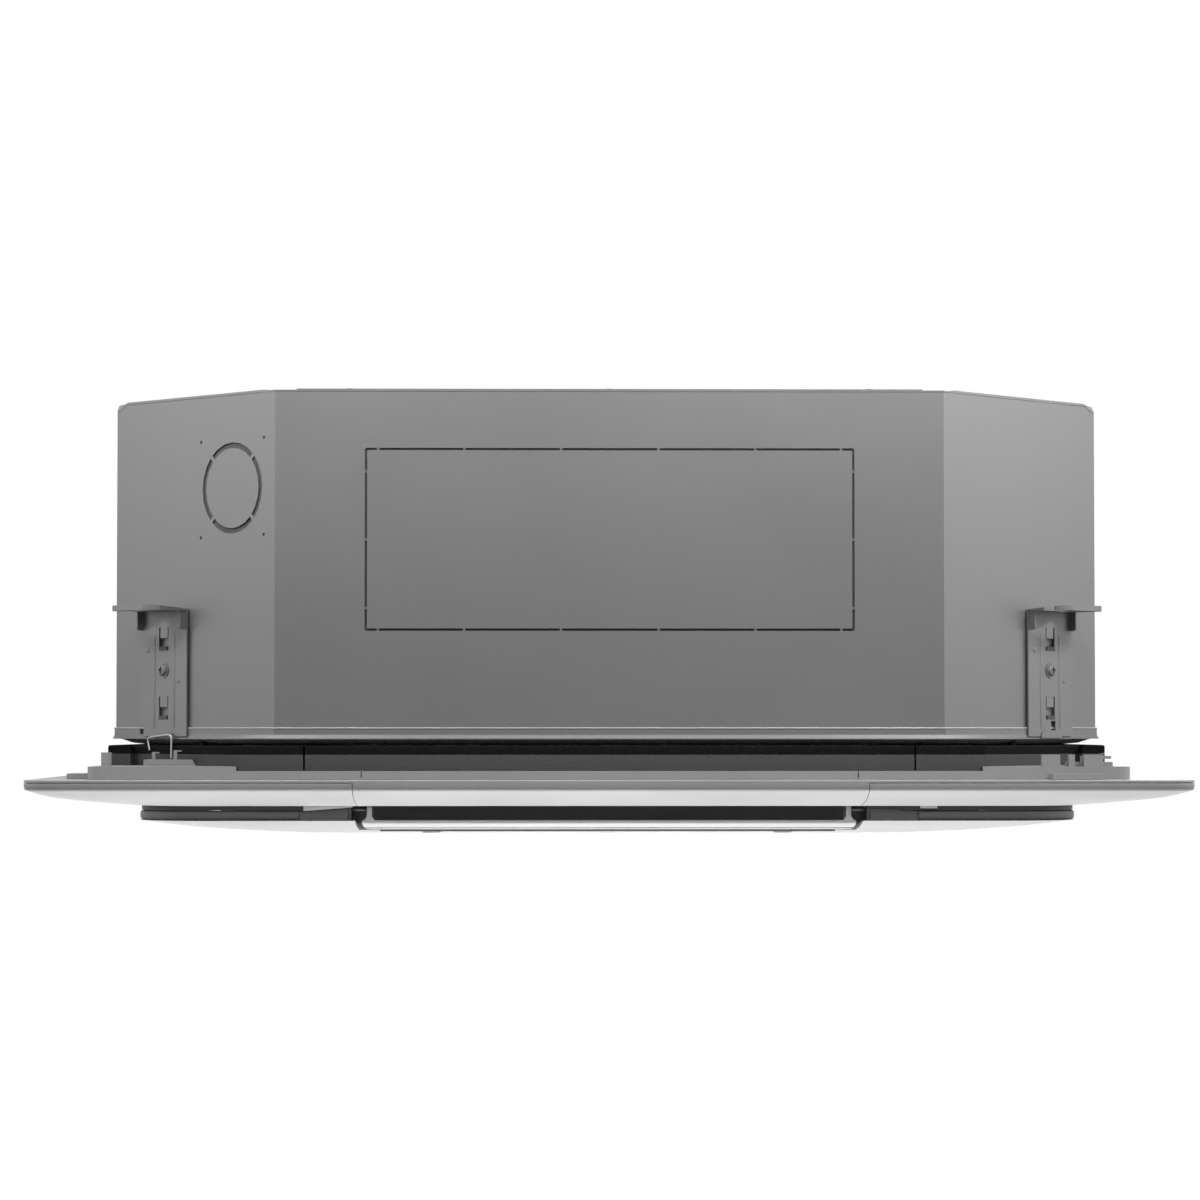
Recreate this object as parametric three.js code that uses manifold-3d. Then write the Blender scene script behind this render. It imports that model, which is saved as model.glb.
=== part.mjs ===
// Ceiling cassette air conditioner: the indoor unit with its decoration panel.
// Millimetres, +Z up. The origin is the centre of the ceiling opening, on the ceiling plane.
// The side with the rectangular knock-out is the front and faces -Y.

import * as THREE from 'three';
import { mergeVertices } from 'three/addons/utils/BufferGeometryUtils.js';
import Module from 'manifold-3d';

const wasm = await Module();
wasm.setup();

// ---------------------------------------------------------------------------------------------
// Driving dimensions
// ---------------------------------------------------------------------------------------------

const GAP = 0.3; // left between pieces that touch
const THROUGH = [-60, 400]; // every height of the unit, for outlines that cut right through
const BELOW = [-60, 0]; // every height under the ceiling
const FAR = 500; // further out than any piece

// Casing: an octagon in plan
const CASING_HALF = 420; // half the width across the flats
const CASING_CUT = 145.5; // how much of each side a chamfer takes
const SHEET = 1.2;
const RIM_BOTTOM = 33.4;
const RIM_TOP = 42;
const RIM_PROUD = 1.3;
const CASING_TOP = 318;
const ROOF_TOP = 320.4;
const ROOF_LIP_HALF = 257;
const ROOF_LIP_WIDTH = 7;
const CHAMFER_LIP = [14, 193.8]; // ends of a chamfer's roof lip, from the bend at the front or rear side
const DIP_ACROSS = 4.6; // the roof dips at the bends beside the left and right sides, by this much across
const DIP_DOWN = 5.5; // and by this much down

// Knock-outs
const DUCT_HALF = 200;
const DUCT_BOTTOM = 122.6;
const DUCT_TOP = 270.7;
const DUCT_BRIDGES_X = [-190, -119.5, -40, 40, 119.5, 190];
const DUCT_BRIDGES_Z = [140.3, 196.5, 252.5];
const SLOT_WIDTH = 2;
const FRESH_AIR_FROM_BEND = 54;
const FRESH_AIR_Z = 241;
const FRESH_AIR_RADIUS = 38;
const FRESH_AIR_SLOT = 4.6;
const FRESH_AIR_SCREWS = 40; // half the spacing of the four screw holes

// Passages through the two rear chamfers, placed by their distance from the bend, and through the left side
const PIPE_PLATE_FROM_BEND = 54;
const GAS_PIPE = { x: -16, z: 168, radius: 7.9 };
const LIQUID_PIPE = { x: 16, z: 118, radius: 4.8 };
const DRAIN_FROM_BEND = 54;
const DRAIN_Z = 150;
const DRAIN_RADIUS = 16;
const DRAIN_WALL = 3;
const CABLE_Z = 90;
const CABLE_RADIUS = 11;

// Hanging brackets: bolt holes at 780 x 680 mm
const HANGER_X = 390;
const HANGER_Y = 340;
const HANGER_OUT = 25; // distance of the bolt from the chamfer
const BRACKET_WIDTH = 60;
const BRACKET_BOTTOM = 35;
const BRACKET_TOP = 142;
const BRACKET_REACH = 42;
const BRACKET_PLATE = 1.6;
const BRACKET_OFF_WALL = RIM_PROUD + 0.4;
const BRACKET_WINDOWS = [58.9, 117.1]; // heights of the two window centres
const HANGER_SLOT_WIDTH = 13;
const HANGER_SLOT_LENGTH = 24;
const HANGER_ENTRY = 10.5; // width of the way into the slot from the flange's side
const GUSSET_BOTTOM = 124.7;
const GUSSET_REACH = 9.5;
// Notches through the rim and the bracket's foot: [across, heights] against the bracket's middle
const OUTER_NOTCH = [[-33.5, -26.5], [34.5, 46.5]];
const MIDDLE_NOTCH = [[0.7, 7], [37.5, 48]];

// Lining, drain pan and coil
const LINING = 10;
const PAN_TOP = 78;
const PAN_LIP_BOTTOM = 28;
// The pan's bottom tapers under the rim: [inset from the casing, height]
const PAN_TAPER = [[2, RIM_BOTTOM + GAP + 1], [2, RIM_BOTTOM + GAP], [14, 29.5], [30, PAN_LIP_BOTTOM]];
const COIL_OUTER = 322;
const COIL_CORNER = 140;
const COIL_DEPTH = 44;
const COIL_BOTTOM = 60;
const COIL_TOP = 300;
const COIL_GAP_FROM = 212; // the coil is open at the rear right corner beyond this
const GUTTER_SIDE = 4;
const GUTTER_FLOOR = 58;
const PAN_OPENING = 236; // radius, round the fan
const OUTLET = { half: 213, inner: 332, outer: 395 }; // air outlet at each side
const PUMP_AT = { x: -314, y: 314 };
const FLOAT_AT = { x: -352, y: 262 };

// Fan
const FAN_RADIUS = 228;
const FAN_BACK = 240;
const BLADES = 7;
const FAN_SIDES = 24;
const MOTOR_RADIUS = 72;
const MOTOR_BOTTOM = 226;
const MOTOR_TOP = 290;
const SHAFT_RADIUS = 5;
const BELL_PLATE_HALF = 311;
const BELL_PLATE_Z = 24.5;
const BELL_MOUTH = 228;
const BELL_THROAT = 188;

// Control box, under the right side of the bell mouth
const BOX_X = [229, 299];
const BOX_HALF = 185;
const BOX_BOTTOM = -8;
const BOX_WALL = 2;

// Panel
const PANEL_HALF = 475;
const PANEL_CORNER = 30;
const RING_HALF = 393; // inner edge of the outer frame, outer edge of the centre cover
const RING_CORNER = 60;
const BASE_HALF = 427;
const BASE_ROUND = 10;
const BASE_TOP = 7;
const BASE_CORNER_TOP = 10.5;
const BASE_CORNER_FROM = 312;
const COVER_SEAM = 208; // seam between the frame and a corner cover
const GUIDE_FROM = 213; // end of a corner guide
const COVER_RIM_Z = -34.5;
const GRILLE_HALF = 302;
const SEAL_TOP = 27.7;
const COVER_BACK = -2.2; // the frame carries the corner covers on a plate above this height
const WEB = [-7, -1]; // plate of the frame inside each corner
const BOLT_AT = 340; // panel bolts, on both axes
const BOLT_RADIUS = 3;
const BOSS_TOP = 15.7; // boss that carries a hook
const BOSS_FRONT = 360;
const CATCH_TOP = 20.3; // toothed catch beside it
const HOOK_WIRE = 0.9; // radius

// Height of the outer frame's underside at each distance from the middle of the panel
const FRAME_PROFILE = [[475, -5.5], [472, -9], [454, -14.6], [422, -19.2], [397, -21.8], [393, -22.4]];
// The same for the convex centre cover
const COVER_PROFILE = [[393, -34.5], [364.4, -39.2], [335, -42.5], [298, -45.6], [235, -49], [0, -51]];
const COVER_SHELL = 3;

// Flaps: each turns about an axis along its side of the panel
const FLAP_HALF = 204;
const FLAP_OUTER = 393;
const FLAP_INNER = 322.3;
const FLAP_AXIS_OUT = 365;
const FLAP_AXIS_Z = -24.5;
const FLAP_ARM_AT = 198;
const FLAP_ARM = 4;
const OUTLET_INNER = 316.5;
const DUCT_WALL = 4;
const DUCT_WALL_CORNER = 12;

// Intake grille
const GRILLE_HINGE_Y = 298;
const GRILLE_HINGE_Z = -41.5;
const GRILLE_SHELL = 2.6;
const SLOT_PITCH = 52;
const SLOT_HALF = 18;
const SLOT_ROWS = 10;
const LATCH_X = [-150, 150];

// ---------------------------------------------------------------------------------------------
// Finishes
// ---------------------------------------------------------------------------------------------

const GALVANISED = { color: 0x8d9092, roughness: 0.45, metalness: 0.8 };
const WHITE_PLASTIC = { color: 0xe8e8e6, roughness: 0.4, metalness: 0 };
const GREY_PLASTIC = { color: 0x97999a, roughness: 0.55, metalness: 0 };
const DARK_PLASTIC = { color: 0x55585a, roughness: 0.6, metalness: 0 };
const BLACK_FOAM = { color: 0x26282a, roughness: 0.95, metalness: 0 };
const PALE_FOAM = { color: 0xdcdcd6, roughness: 0.9, metalness: 0 };
const COPPER = { color: 0xb87350, roughness: 0.35, metalness: 0.9 };
const FINS = { color: 0xb4bcc2, roughness: 0.4, metalness: 0.8 };
const BRIGHT_STEEL = { color: 0xb9bcbf, roughness: 0.3, metalness: 0.9 };

// ---------------------------------------------------------------------------------------------
// Solids: every helper takes and gives closed geometries
// ---------------------------------------------------------------------------------------------

function toManifold(geometry) {
  const bare = geometry.clone();
  bare.deleteAttribute('normal');
  bare.deleteAttribute('uv');
  const merged = mergeVertices(bare, 1e-4);
  const corners = merged.index.array;
  const faces = [];
  for (let i = 0; i < corners.length; i += 3) {
    const [a, b, c] = [corners[i], corners[i + 1], corners[i + 2]];
    if (a !== b && b !== c && c !== a) faces.push(a, b, c);
  }
  return new wasm.Manifold(new wasm.Mesh({
    numProp: 3,
    vertProperties: new Float32Array(merged.attributes.position.array),
    triVerts: new Uint32Array(faces),
  }));
}

function toGeometry(manifold) {
  const { vertProperties, triVerts } = manifold.getMesh();
  const geometry = new THREE.BufferGeometry();
  geometry.setAttribute('position', new THREE.BufferAttribute(vertProperties.slice(), 3));
  geometry.setIndex(new THREE.BufferAttribute(triVerts.slice(), 1));
  geometry.computeVertexNormals();
  return geometry;
}

function combine(operation, first, others) {
  let result = toManifold(first);
  for (const other of others.flat(Infinity)) {
    result = result[operation](toManifold(other));
  }
  return toGeometry(result);
}

const join = (first, ...others) => combine('add', first, others);
const cut = (first, ...others) => combine('subtract', first, others);
const common = (first, ...others) => combine('intersect', first, others);

function box([x0, x1], [y0, y1], [z0, z1]) {
  const geometry = new THREE.BoxGeometry(x1 - x0, y1 - y0, z1 - z0);
  return geometry.translate((x0 + x1) / 2, (y0 + y1) / 2, (z0 + z1) / 2);
}

function rod(radius, [z0, z1], x = 0, y = 0, sides = 20) {
  const geometry = new THREE.CylinderGeometry(radius, radius, z1 - z0, sides);
  return geometry.rotateX(Math.PI / 2).translate(x, y, (z0 + z1) / 2);
}

function rodAlongX(radius, [x0, x1], y, z, sides = 16) {
  const geometry = new THREE.CylinderGeometry(radius, radius, x1 - x0, sides);
  return geometry.rotateZ(Math.PI / 2).translate((x0 + x1) / 2, y, z);
}

function rodAlongY(radius, [y0, y1], x, z, sides = 16) {
  return new THREE.CylinderGeometry(radius, radius, y1 - y0, sides).translate(x, (y0 + y1) / 2, z);
}

// An outline in plan, raised from z0 to z1
function column(shape, [z0, z1], curveSegments = 4) {
  const geometry = new THREE.ExtrudeGeometry(shape, { depth: z1 - z0, bevelEnabled: false, curveSegments });
  return geometry.translate(0, 0, z0);
}

// An outline given as [across, height] points, run along X from x0 to x1
function barAlongX(points, [x0, x1]) {
  const shape = new THREE.Shape(points.map(([across, height]) => new THREE.Vector2(across, height)));
  const geometry = new THREE.ExtrudeGeometry(shape, { depth: x1 - x0, bevelEnabled: false });
  return geometry.rotateX(Math.PI / 2).rotateZ(Math.PI / 2).translate(x0, 0, 0);
}

// A closed profile of [radius, height] points turned about Z
function turned(points, sides = 32) {
  const profile = points.map(([radius, height]) => new THREE.Vector2(radius, height));
  if (THREE.ShapeUtils.area(profile) < 0) profile.reverse();
  profile.push(profile[0].clone());
  return new THREE.LatheGeometry(profile, sides).rotateX(Math.PI / 2);
}

function spunAboutZ(geometry, degrees) {
  return geometry.clone().rotateZ(THREE.MathUtils.degToRad(degrees));
}

// The same solid on the other side of x = 0, with its faces turned so that they still look outwards
function mirroredAcross(geometry) {
  const mirrored = geometry.clone().scale(-1, 1, 1);
  const corners = mirrored.index.array;
  for (let i = 0; i < corners.length; i += 3) {
    [corners[i], corners[i + 1]] = [corners[i + 1], corners[i]];
  }
  return mirrored;
}

// Square outline with round corners
function roundedSquare(half, radius) {
  const shape = new THREE.Shape();
  const inner = half - radius;
  shape.absarc(inner, inner, radius, 0, Math.PI / 2);
  shape.absarc(-inner, inner, radius, Math.PI / 2, Math.PI);
  shape.absarc(-inner, -inner, radius, Math.PI, 1.5 * Math.PI);
  shape.absarc(inner, -inner, radius, 1.5 * Math.PI, 2 * Math.PI);
  return shape;
}

// Square outline with straight corners
function chamferedSquare(half, chamfer) {
  const flat = half - chamfer;
  const corners = [[-flat, -half], [flat, -half], [half, -flat], [half, flat]];
  corners.push(...corners.map(([x, y]) => [-x, -y]));
  return new THREE.Shape(corners.map(([x, y]) => new THREE.Vector2(x, y)));
}

// Bowl-shaped solid whose underside follows profile along both X and Y, up to the height top
function pillow(profile, top, lift = 0) {
  const half = profile[0][0];
  const right = profile.map(([across, height]) => new THREE.Vector2(across, height + lift));
  const left = right.map(({ x, y }) => new THREE.Vector2(-x, y)).filter(({ x }) => x !== 0);
  const outline = [new THREE.Vector2(-half, top), ...left, ...right.reverse(), new THREE.Vector2(half, top)];
  const settings = { depth: 2 * half, bevelEnabled: false };
  const alongY = new THREE.ExtrudeGeometry(new THREE.Shape(outline), settings);
  alongY.rotateX(Math.PI / 2).translate(0, half, 0);
  return common(alongY, spunAboutZ(alongY, 90));
}

// ---------------------------------------------------------------------------------------------
// The scene: groups for the parts of the unit that repeat round it
// ---------------------------------------------------------------------------------------------

const unit = new THREE.Group();
unit.name = 'ceiling_cassette_unit';

function place(name, geometry, finish, parent = unit) {
  const mesh = new THREE.Mesh(geometry, new THREE.MeshStandardMaterial(finish));
  mesh.name = name;
  parent.add(mesh);
  return mesh;
}

function turnedGroup(degrees, x = 0, y = 0) {
  const group = new THREE.Group();
  group.rotation.z = THREE.MathUtils.degToRad(degrees);
  group.position.set(x, y, 0);
  unit.add(group);
  return group;
}

// What is drawn at the front (or at the front left corner) and repeated by quarter turns
const SIDES = [['front', 0], ['right', 90], ['rear', 180], ['left', 270]];
const CORNERS = [['front_left', 0], ['front_right', 90], ['rear_right', 180], ['rear_left', 270]];

// Chamfers of the casing: signs of x and y, and the turn that brings -Y to the outward direction
const CHAMFERS = {
  front_left: { x: -1, y: -1, turn: -45 },
  front_right: { x: 1, y: -1, turn: 45 },
  rear_right: { x: 1, y: 1, turn: 135 },
  rear_left: { x: -1, y: 1, turn: -135 },
};

// Point of a chamfer's outer face at a distance along it from the bend at the front or rear side
function onChamfer(corner, fromBend) {
  const { x, y } = CHAMFERS[corner];
  const along = fromBend / Math.SQRT2;
  return [x * (CASING_HALF - CASING_CUT + along), y * (CASING_HALF - along)];
}

// Corners of the casing's octagon, moved inwards by inset, anticlockwise from the front left bend
function casingCorners(inset) {
  const half = CASING_HALF - inset;
  const flat = CASING_HALF - CASING_CUT - inset * Math.tan(Math.PI / 8);
  const quarter = [new THREE.Vector2(-flat, -half), new THREE.Vector2(flat, -half)];
  const corners = [];
  for (let turn = 0; turn < 4; turn += 1) {
    const centre = new THREE.Vector2(0, 0);
    corners.push(...quarter.map((corner) => corner.clone().rotateAround(centre, (turn * Math.PI) / 2)));
  }
  return corners;
}

const casingColumn = (inset, heights) => column(new THREE.Shape(casingCorners(inset)), heights);

// Convex solid with the casing's outline, given as [inset, height] pairs
function casingTaper(levels) {
  const points = levels.flatMap(([inset, z]) => casingCorners(inset).map(({ x, y }) => [x, y, z]));
  return toGeometry(wasm.Manifold.hull(points));
}

// ---------------------------------------------------------------------------------------------
// Casing
// ---------------------------------------------------------------------------------------------

const ROOF_SHEET = [CASING_TOP + GAP, CASING_TOP + SHEET + GAP];

// Wedges above the roof's dips, moved inwards by depth
function roofDips(depth) {
  const slope = DIP_DOWN / DIP_ACROSS;
  const inwards = DIP_ACROSS + depth * Math.hypot(1, 1 / slope);
  const above = 5;
  const outside = -2;
  const side = [
    [inwards + above / slope, above], [outside, above], [outside, (outside - inwards) * slope],
  ];
  const wedge = barAlongX(side, [-20, 20]).translate(0, 0, ROOF_SHEET[1]);
  return Object.values(CHAMFERS).map(({ x, y, turn }) => (
    spunAboutZ(wedge, turn + x * -y * 22.5).translate(x * CASING_HALF, y * (CASING_HALF - CASING_CUT), 0)
  ));
}

function topPlate() {
  const sheet = casingColumn(0, ROOF_SHEET);
  const dipped = common(casingColumn(0, [CASING_TOP - 10, ROOF_SHEET[1]]), join(...roofDips(SHEET)));
  const lipHeights = [CASING_TOP + 0.8, ROOF_TOP];
  const lip = box([-ROOF_LIP_HALF, ROOF_LIP_HALF], [-CASING_HALF, ROOF_LIP_WIDTH - CASING_HALF], lipHeights);
  const [from, to] = CHAMFER_LIP;
  const chamferLip = box([(from - to) / 2, (to - from) / 2], [0, ROOF_LIP_WIDTH], lipHeights);
  const chamferLips = Object.keys(CHAMFERS).map((corner) => (
    ontoChamfer([chamferLip], corner, (from + to) / 2)
  ));
  const pressedRing = turned([[120, 318.8], [165, 318.8], [160, ROOF_TOP], [125, ROOF_TOP]]);
  const rib = box([200, 360], [-14, 14], lipHeights);
  const ribs = [45, 135, 225, 315].map((turn) => spunAboutZ(rib, turn));
  const plate = join(sheet, dipped, lip, spunAboutZ(lip, 180), chamferLips, pressedRing, ribs);
  return cut(plate, roofDips(0));
}

// Bent sheet through count corners of the octagon, from the given one on
function wallSheet(firstCorner, count) {
  const outer = casingCorners(0);
  const inner = casingCorners(SHEET);
  const order = Array.from({ length: count }, (_, i) => (firstCorner + i) % 8);
  const outward = order.map((i) => outer[i]);
  const inward = order.reverse().map((i) => inner[i]);
  const sheet = column(new THREE.Shape([...outward, ...inward]), [RIM_TOP + GAP, CASING_TOP]);
  return cut(sheet, roofDips(SHEET + GAP));
}

// Stretches of slot between the bridges of a knock-out
function slotStretches(from, bridges, to) {
  const stops = [from - SLOT_WIDTH / 2, ...bridges, to + SLOT_WIDTH / 2];
  return stops.slice(1).map((stop, i) => [stops[i] + SLOT_WIDTH / 2, stop - SLOT_WIDTH / 2]);
}

// Slots round the rectangular knock-out of the front sheet
function ductSlots() {
  const through = [-CASING_HALF - 5, -CASING_HALF + 5];
  const wide = (middle) => [middle - SLOT_WIDTH / 2, middle + SLOT_WIDTH / 2];
  const level = slotStretches(-DUCT_HALF, DUCT_BRIDGES_X, DUCT_HALF);
  const upright = slotStretches(DUCT_BOTTOM, DUCT_BRIDGES_Z, DUCT_TOP);
  const slots = [];
  for (const height of [DUCT_BOTTOM, DUCT_TOP]) {
    slots.push(...level.map((stretch) => box(stretch, through, wide(height))));
  }
  for (const across of [-DUCT_HALF, DUCT_HALF]) {
    slots.push(...upright.map((stretch) => box(wide(across), through, stretch)));
  }
  return slots;
}

// Cutters drawn against a face at y = 0, moved to a place on a chamfer
function ontoChamfer(cutters, corner, fromBend) {
  const [x, y] = onChamfer(corner, fromBend);
  return cutters.flat(Infinity).map((cutter) => spunAboutZ(cutter, CHAMFERS[corner].turn).translate(x, y, 0));
}

function freshAirCutters() {
  const ring = cut(
    rodAlongY(FRESH_AIR_RADIUS, [-5, 5], 0, 0, 24),
    rodAlongY(FRESH_AIR_RADIUS - FRESH_AIR_SLOT, [-6, 6], 0, 0, 24),
  );
  const bridge = box([-50, 50], [-6, 6], [-1.5, 1.5]);
  const bridges = [45, 135].map((turn) => bridge.clone().rotateY(THREE.MathUtils.degToRad(turn)));
  const spread = [-FRESH_AIR_SCREWS, FRESH_AIR_SCREWS];
  const screwHoles = spread.flatMap((x) => spread.map((z) => rodAlongY(1.5, [-5, 5], x, z, 6)));
  return [cut(ring, bridges), ...screwHoles].map((cutter) => cutter.translate(0, 0, FRESH_AIR_Z));
}

const wallDepth = [-30, 30];
const pipes = [GAS_PIPE, LIQUID_PIPE];
const pipeHoles = pipes.map(({ x, z, radius }) => rodAlongY(radius + 3, wallDepth, x, z, 12));
const drainHole = rodAlongY(DRAIN_RADIUS + 1, wallDepth, 0, DRAIN_Z, 16);
const cableHole = rodAlongX(CABLE_RADIUS, wallDepth.map((out) => out - CASING_HALF), 0, CABLE_Z);

const freshAir = ontoChamfer(freshAirCutters(), 'front_left', FRESH_AIR_FROM_BEND);
const pipePassage = ontoChamfer(pipeHoles, 'rear_right', PIPE_PLATE_FROM_BEND);
const drainPassage = ontoChamfer([drainHole], 'rear_left', DRAIN_FROM_BEND);
const sideSheetEnd = CASING_HALF - CASING_CUT - 0.9;
const sideTrim = box([-FAR, FAR], [-sideSheetEnd, sideSheetEnd], THROUGH);
const rearDuct = ductSlots().map((slot) => spunAboutZ(slot, 180));

place('top_plate', topPlate(), GALVANISED);
place('casing_front_wall', cut(wallSheet(7, 4), ductSlots(), freshAir), GALVANISED);
place('casing_rear_wall', cut(wallSheet(3, 4), rearDuct, pipePassage, drainPassage), GALVANISED);
place('casing_right_wall', common(wallSheet(2, 2), sideTrim), GALVANISED);
place('casing_left_wall', cut(common(wallSheet(6, 2), sideTrim), cableHole), GALVANISED);

// Where a bracket stands on its chamfer, so that its bolt is at HANGER_X, HANGER_Y
function bracketFromBend() {
  const alongX = HANGER_X - (CASING_HALF - CASING_CUT);
  const alongY = CASING_HALF - HANGER_Y;
  return ((alongX + alongY) / 2) * Math.SQRT2;
}

function footNotch(corner) {
  const [across, heights] = corner === 'front_left' || corner === 'rear_right' ? OUTER_NOTCH : MIDDLE_NOTCH;
  return box(across, [-6, 6], heights);
}

const rimNotches = Object.keys(CHAMFERS).map((corner) => (
  ontoChamfer([footNotch(corner)], corner, bracketFromBend())
));
const rimBand = cut(casingColumn(-RIM_PROUD, [RIM_BOTTOM, RIM_TOP]), casingColumn(1.7, THROUGH));
place('base_rim', cut(rimBand, rimNotches), GALVANISED);

// Outline of a bracket's flange, moved inwards by inset and ending at back, towards the wall
function flangeOutline(back, inset) {
  const round = 14 - inset;
  const half = BRACKET_WIDTH / 2 - inset;
  const centre = -BRACKET_REACH + inset + round;
  const outline = new THREE.Shape();
  outline.moveTo(half, back);
  outline.lineTo(-half, back);
  outline.absarc(-half + round, centre, round, Math.PI, 1.5 * Math.PI);
  outline.absarc(half - round, centre, round, 1.5 * Math.PI, 2 * Math.PI);
  return outline;
}

// Hanging bracket, drawn against a face at y = 0 with its outside towards -Y
function hangingBracket(corner) {
  const back = -BRACKET_OFF_WALL;
  const face = back - BRACKET_PLATE;
  const half = BRACKET_WIDTH / 2;
  const plate = box([-half, half], [face, back], [BRACKET_BOTTOM, BRACKET_TOP]);
  const flange = column(flangeOutline(back, 0), [BRACKET_TOP - BRACKET_PLATE, BRACKET_TOP], 3);
  const edge = cut(
    column(flangeOutline(back, 0), [BRACKET_TOP - 1, BRACKET_TOP + 4], 3),
    column(flangeOutline(0, BRACKET_PLATE), THROUGH, 3),
  );
  const lipSide = [
    [-BRACKET_REACH - 1, BRACKET_TOP - 2], [-BRACKET_REACH - 1, BRACKET_TOP + 3],
    [-9, BRACKET_TOP + 0.5], [-7, BRACKET_TOP - 2],
  ];
  const lip = common(edge, barAlongX(lipSide, [-half - 1, half + 1]));
  const slot = column(roundedSlot(HANGER_SLOT_WIDTH, HANGER_SLOT_LENGTH), THROUGH, 4);
  const entry = box([-half - 5, 0], [-HANGER_ENTRY / 2, HANGER_ENTRY / 2], [BRACKET_TOP - 5, FAR]);
  const hangerWay = [slot, entry].map((cutter) => cutter.translate(0, -HANGER_OUT, 0));
  const gussetSide = [
    [face + 0.4, GUSSET_BOTTOM], [face + 0.4, BRACKET_TOP - 1], [-GUSSET_REACH, BRACKET_TOP - 1],
    [-GUSSET_REACH, GUSSET_BOTTOM + 2], [-GUSSET_REACH + 2, GUSSET_BOTTOM],
  ];
  const gussets = [-1, 1].map((side) => barAlongX(gussetSide, [side * 28.2 - 0.8, side * 28.2 + 0.8]));
  const windows = BRACKET_WINDOWS.map((z) => box([-6.2, 6.2], [-9, 0], [z - 9.7, z + 9.7]));
  const upperTab = [[face + 0.3, 0.8], [face + 0.3, 9.9], [back, 9.9], [back, 0.8]];
  const lowerTab = [[back, -9.9], [face, -9.9], [face - 1.8, -6.4], [back - 0.6, -6.4]];
  const tabs = BRACKET_WINDOWS.flatMap((z) => [upperTab, lowerTab].map((side) => (
    barAlongX(side, [-4.8, 4.8]).translate(0, 0, z)
  )));
  const screwHole = rodAlongY(2.2, [-9, 0], 0, 91, 8);
  const pierced = cut(plate, windows, footNotch(corner));
  return cut(join(pierced, flange, lip, gussets, tabs), hangerWay, screwHole);
}

function roundedSlot(width, length) {
  const radius = width / 2;
  const end = length / 2 - radius;
  const shape = new THREE.Shape();
  shape.absarc(0, end, radius, 0, Math.PI);
  shape.absarc(0, -end, radius, Math.PI, 2 * Math.PI);
  return shape;
}

for (const [corner, { turn }] of Object.entries(CHAMFERS)) {
  const [x, y] = onChamfer(corner, bracketFromBend());
  place(`hanging_bracket_${corner}`, hangingBracket(corner), GALVANISED, turnedGroup(turn, x, y));
}

// Cover plate of the pipe passage
const pipePlate = cut(box([-45, 45], [-1.7, -GAP], [90, 200]), pipeHoles);
const [plateX, plateY] = onChamfer('rear_right', PIPE_PLATE_FROM_BEND);
place('pipe_plate', pipePlate, GALVANISED, turnedGroup(CHAMFERS.rear_right.turn, plateX, plateY));

// ---------------------------------------------------------------------------------------------
// Lining, drain pan and coil
// ---------------------------------------------------------------------------------------------

const liningInset = SHEET + GAP;
const wallLining = cut(
  casingColumn(liningInset, [PAN_TOP + GAP, CASING_TOP - GAP]),
  casingColumn(liningInset + LINING, THROUGH),
);
const liningCutters = [pipePassage, drainPassage, cableHole, roofDips(SHEET + 2 * GAP)];
place('wall_lining', cut(wallLining, liningCutters), BLACK_FOAM);
const roofLining = cut(
  casingColumn(liningInset + LINING + GAP, [CASING_TOP - 8, CASING_TOP - GAP]),
  rod(125, THROUGH, 0, 0, 32),
);
place('roof_lining', roofLining, BLACK_FOAM);

// Square ring in plan, between two rounded squares
function squareRing(outerHalf, outerCorner, innerHalf, innerCorner, heights) {
  const inner = column(roundedSquare(innerHalf, innerCorner), [heights[0] - 1, heights[1] + 1]);
  return cut(column(roundedSquare(outerHalf, outerCorner), heights), inner);
}

const cornerGap = box([COIL_GAP_FROM, FAR], [COIL_GAP_FROM, FAR], THROUGH);
const coilInner = COIL_OUTER - COIL_DEPTH;
const coilInnerCorner = COIL_CORNER - COIL_DEPTH;
const coil = squareRing(COIL_OUTER, COIL_CORNER, coilInner, coilInnerCorner, [COIL_BOTTOM, COIL_TOP]);
place('evaporator_coil', cut(coil, cornerGap), FINS);

// Air outlets through the drain pan
const outletHole = box([-OUTLET.half, OUTLET.half], [-OUTLET.outer, -OUTLET.inner], THROUGH);
const outletHoles = SIDES.map(([, turn]) => spunAboutZ(outletHole, turn));
const gutterHeights = [GUTTER_FLOOR, PAN_TOP + 1];
// The gutter follows the coil with straight corners: outside the coil's bends and inside them
const gutterOuter = COIL_OUTER + GUTTER_SIDE;
const gutterInner = coilInner - GUTTER_SIDE;
const outerChamfer = (COIL_CORNER + GUTTER_SIDE) * (2 - Math.SQRT2);
const innerChamfer = coilInnerCorner - GUTTER_SIDE;
const gutter = cut(
  column(chamferedSquare(gutterOuter, outerChamfer), gutterHeights),
  column(chamferedSquare(gutterInner, innerChamfer), [gutterHeights[0] - 1, gutterHeights[1] + 1]),
);
const boltHole = rod(BOLT_RADIUS + 0.6, THROUGH, -BOLT_AT, -BOLT_AT, 8);
const boltHoles = CORNERS.map(([, turn]) => spunAboutZ(boltHole, turn));
const pumpPocket = join(
  rod(42, gutterHeights, PUMP_AT.x, PUMP_AT.y, 8),
  rod(19, gutterHeights, FLOAT_AT.x, FLOAT_AT.y, 8),
  box([-345, -300], [255, 320], gutterHeights),
);
const panBlock = join(
  casingColumn(2, [RIM_BOTTOM + GAP, PAN_TOP]),
  casingTaper(PAN_TAPER),
);
const panOpening = rod(PAN_OPENING, THROUGH, 0, 0, 16);
place('drain_pan', cut(panBlock, outletHoles, panOpening, gutter, boltHoles, pumpPocket), PALE_FOAM);

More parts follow.
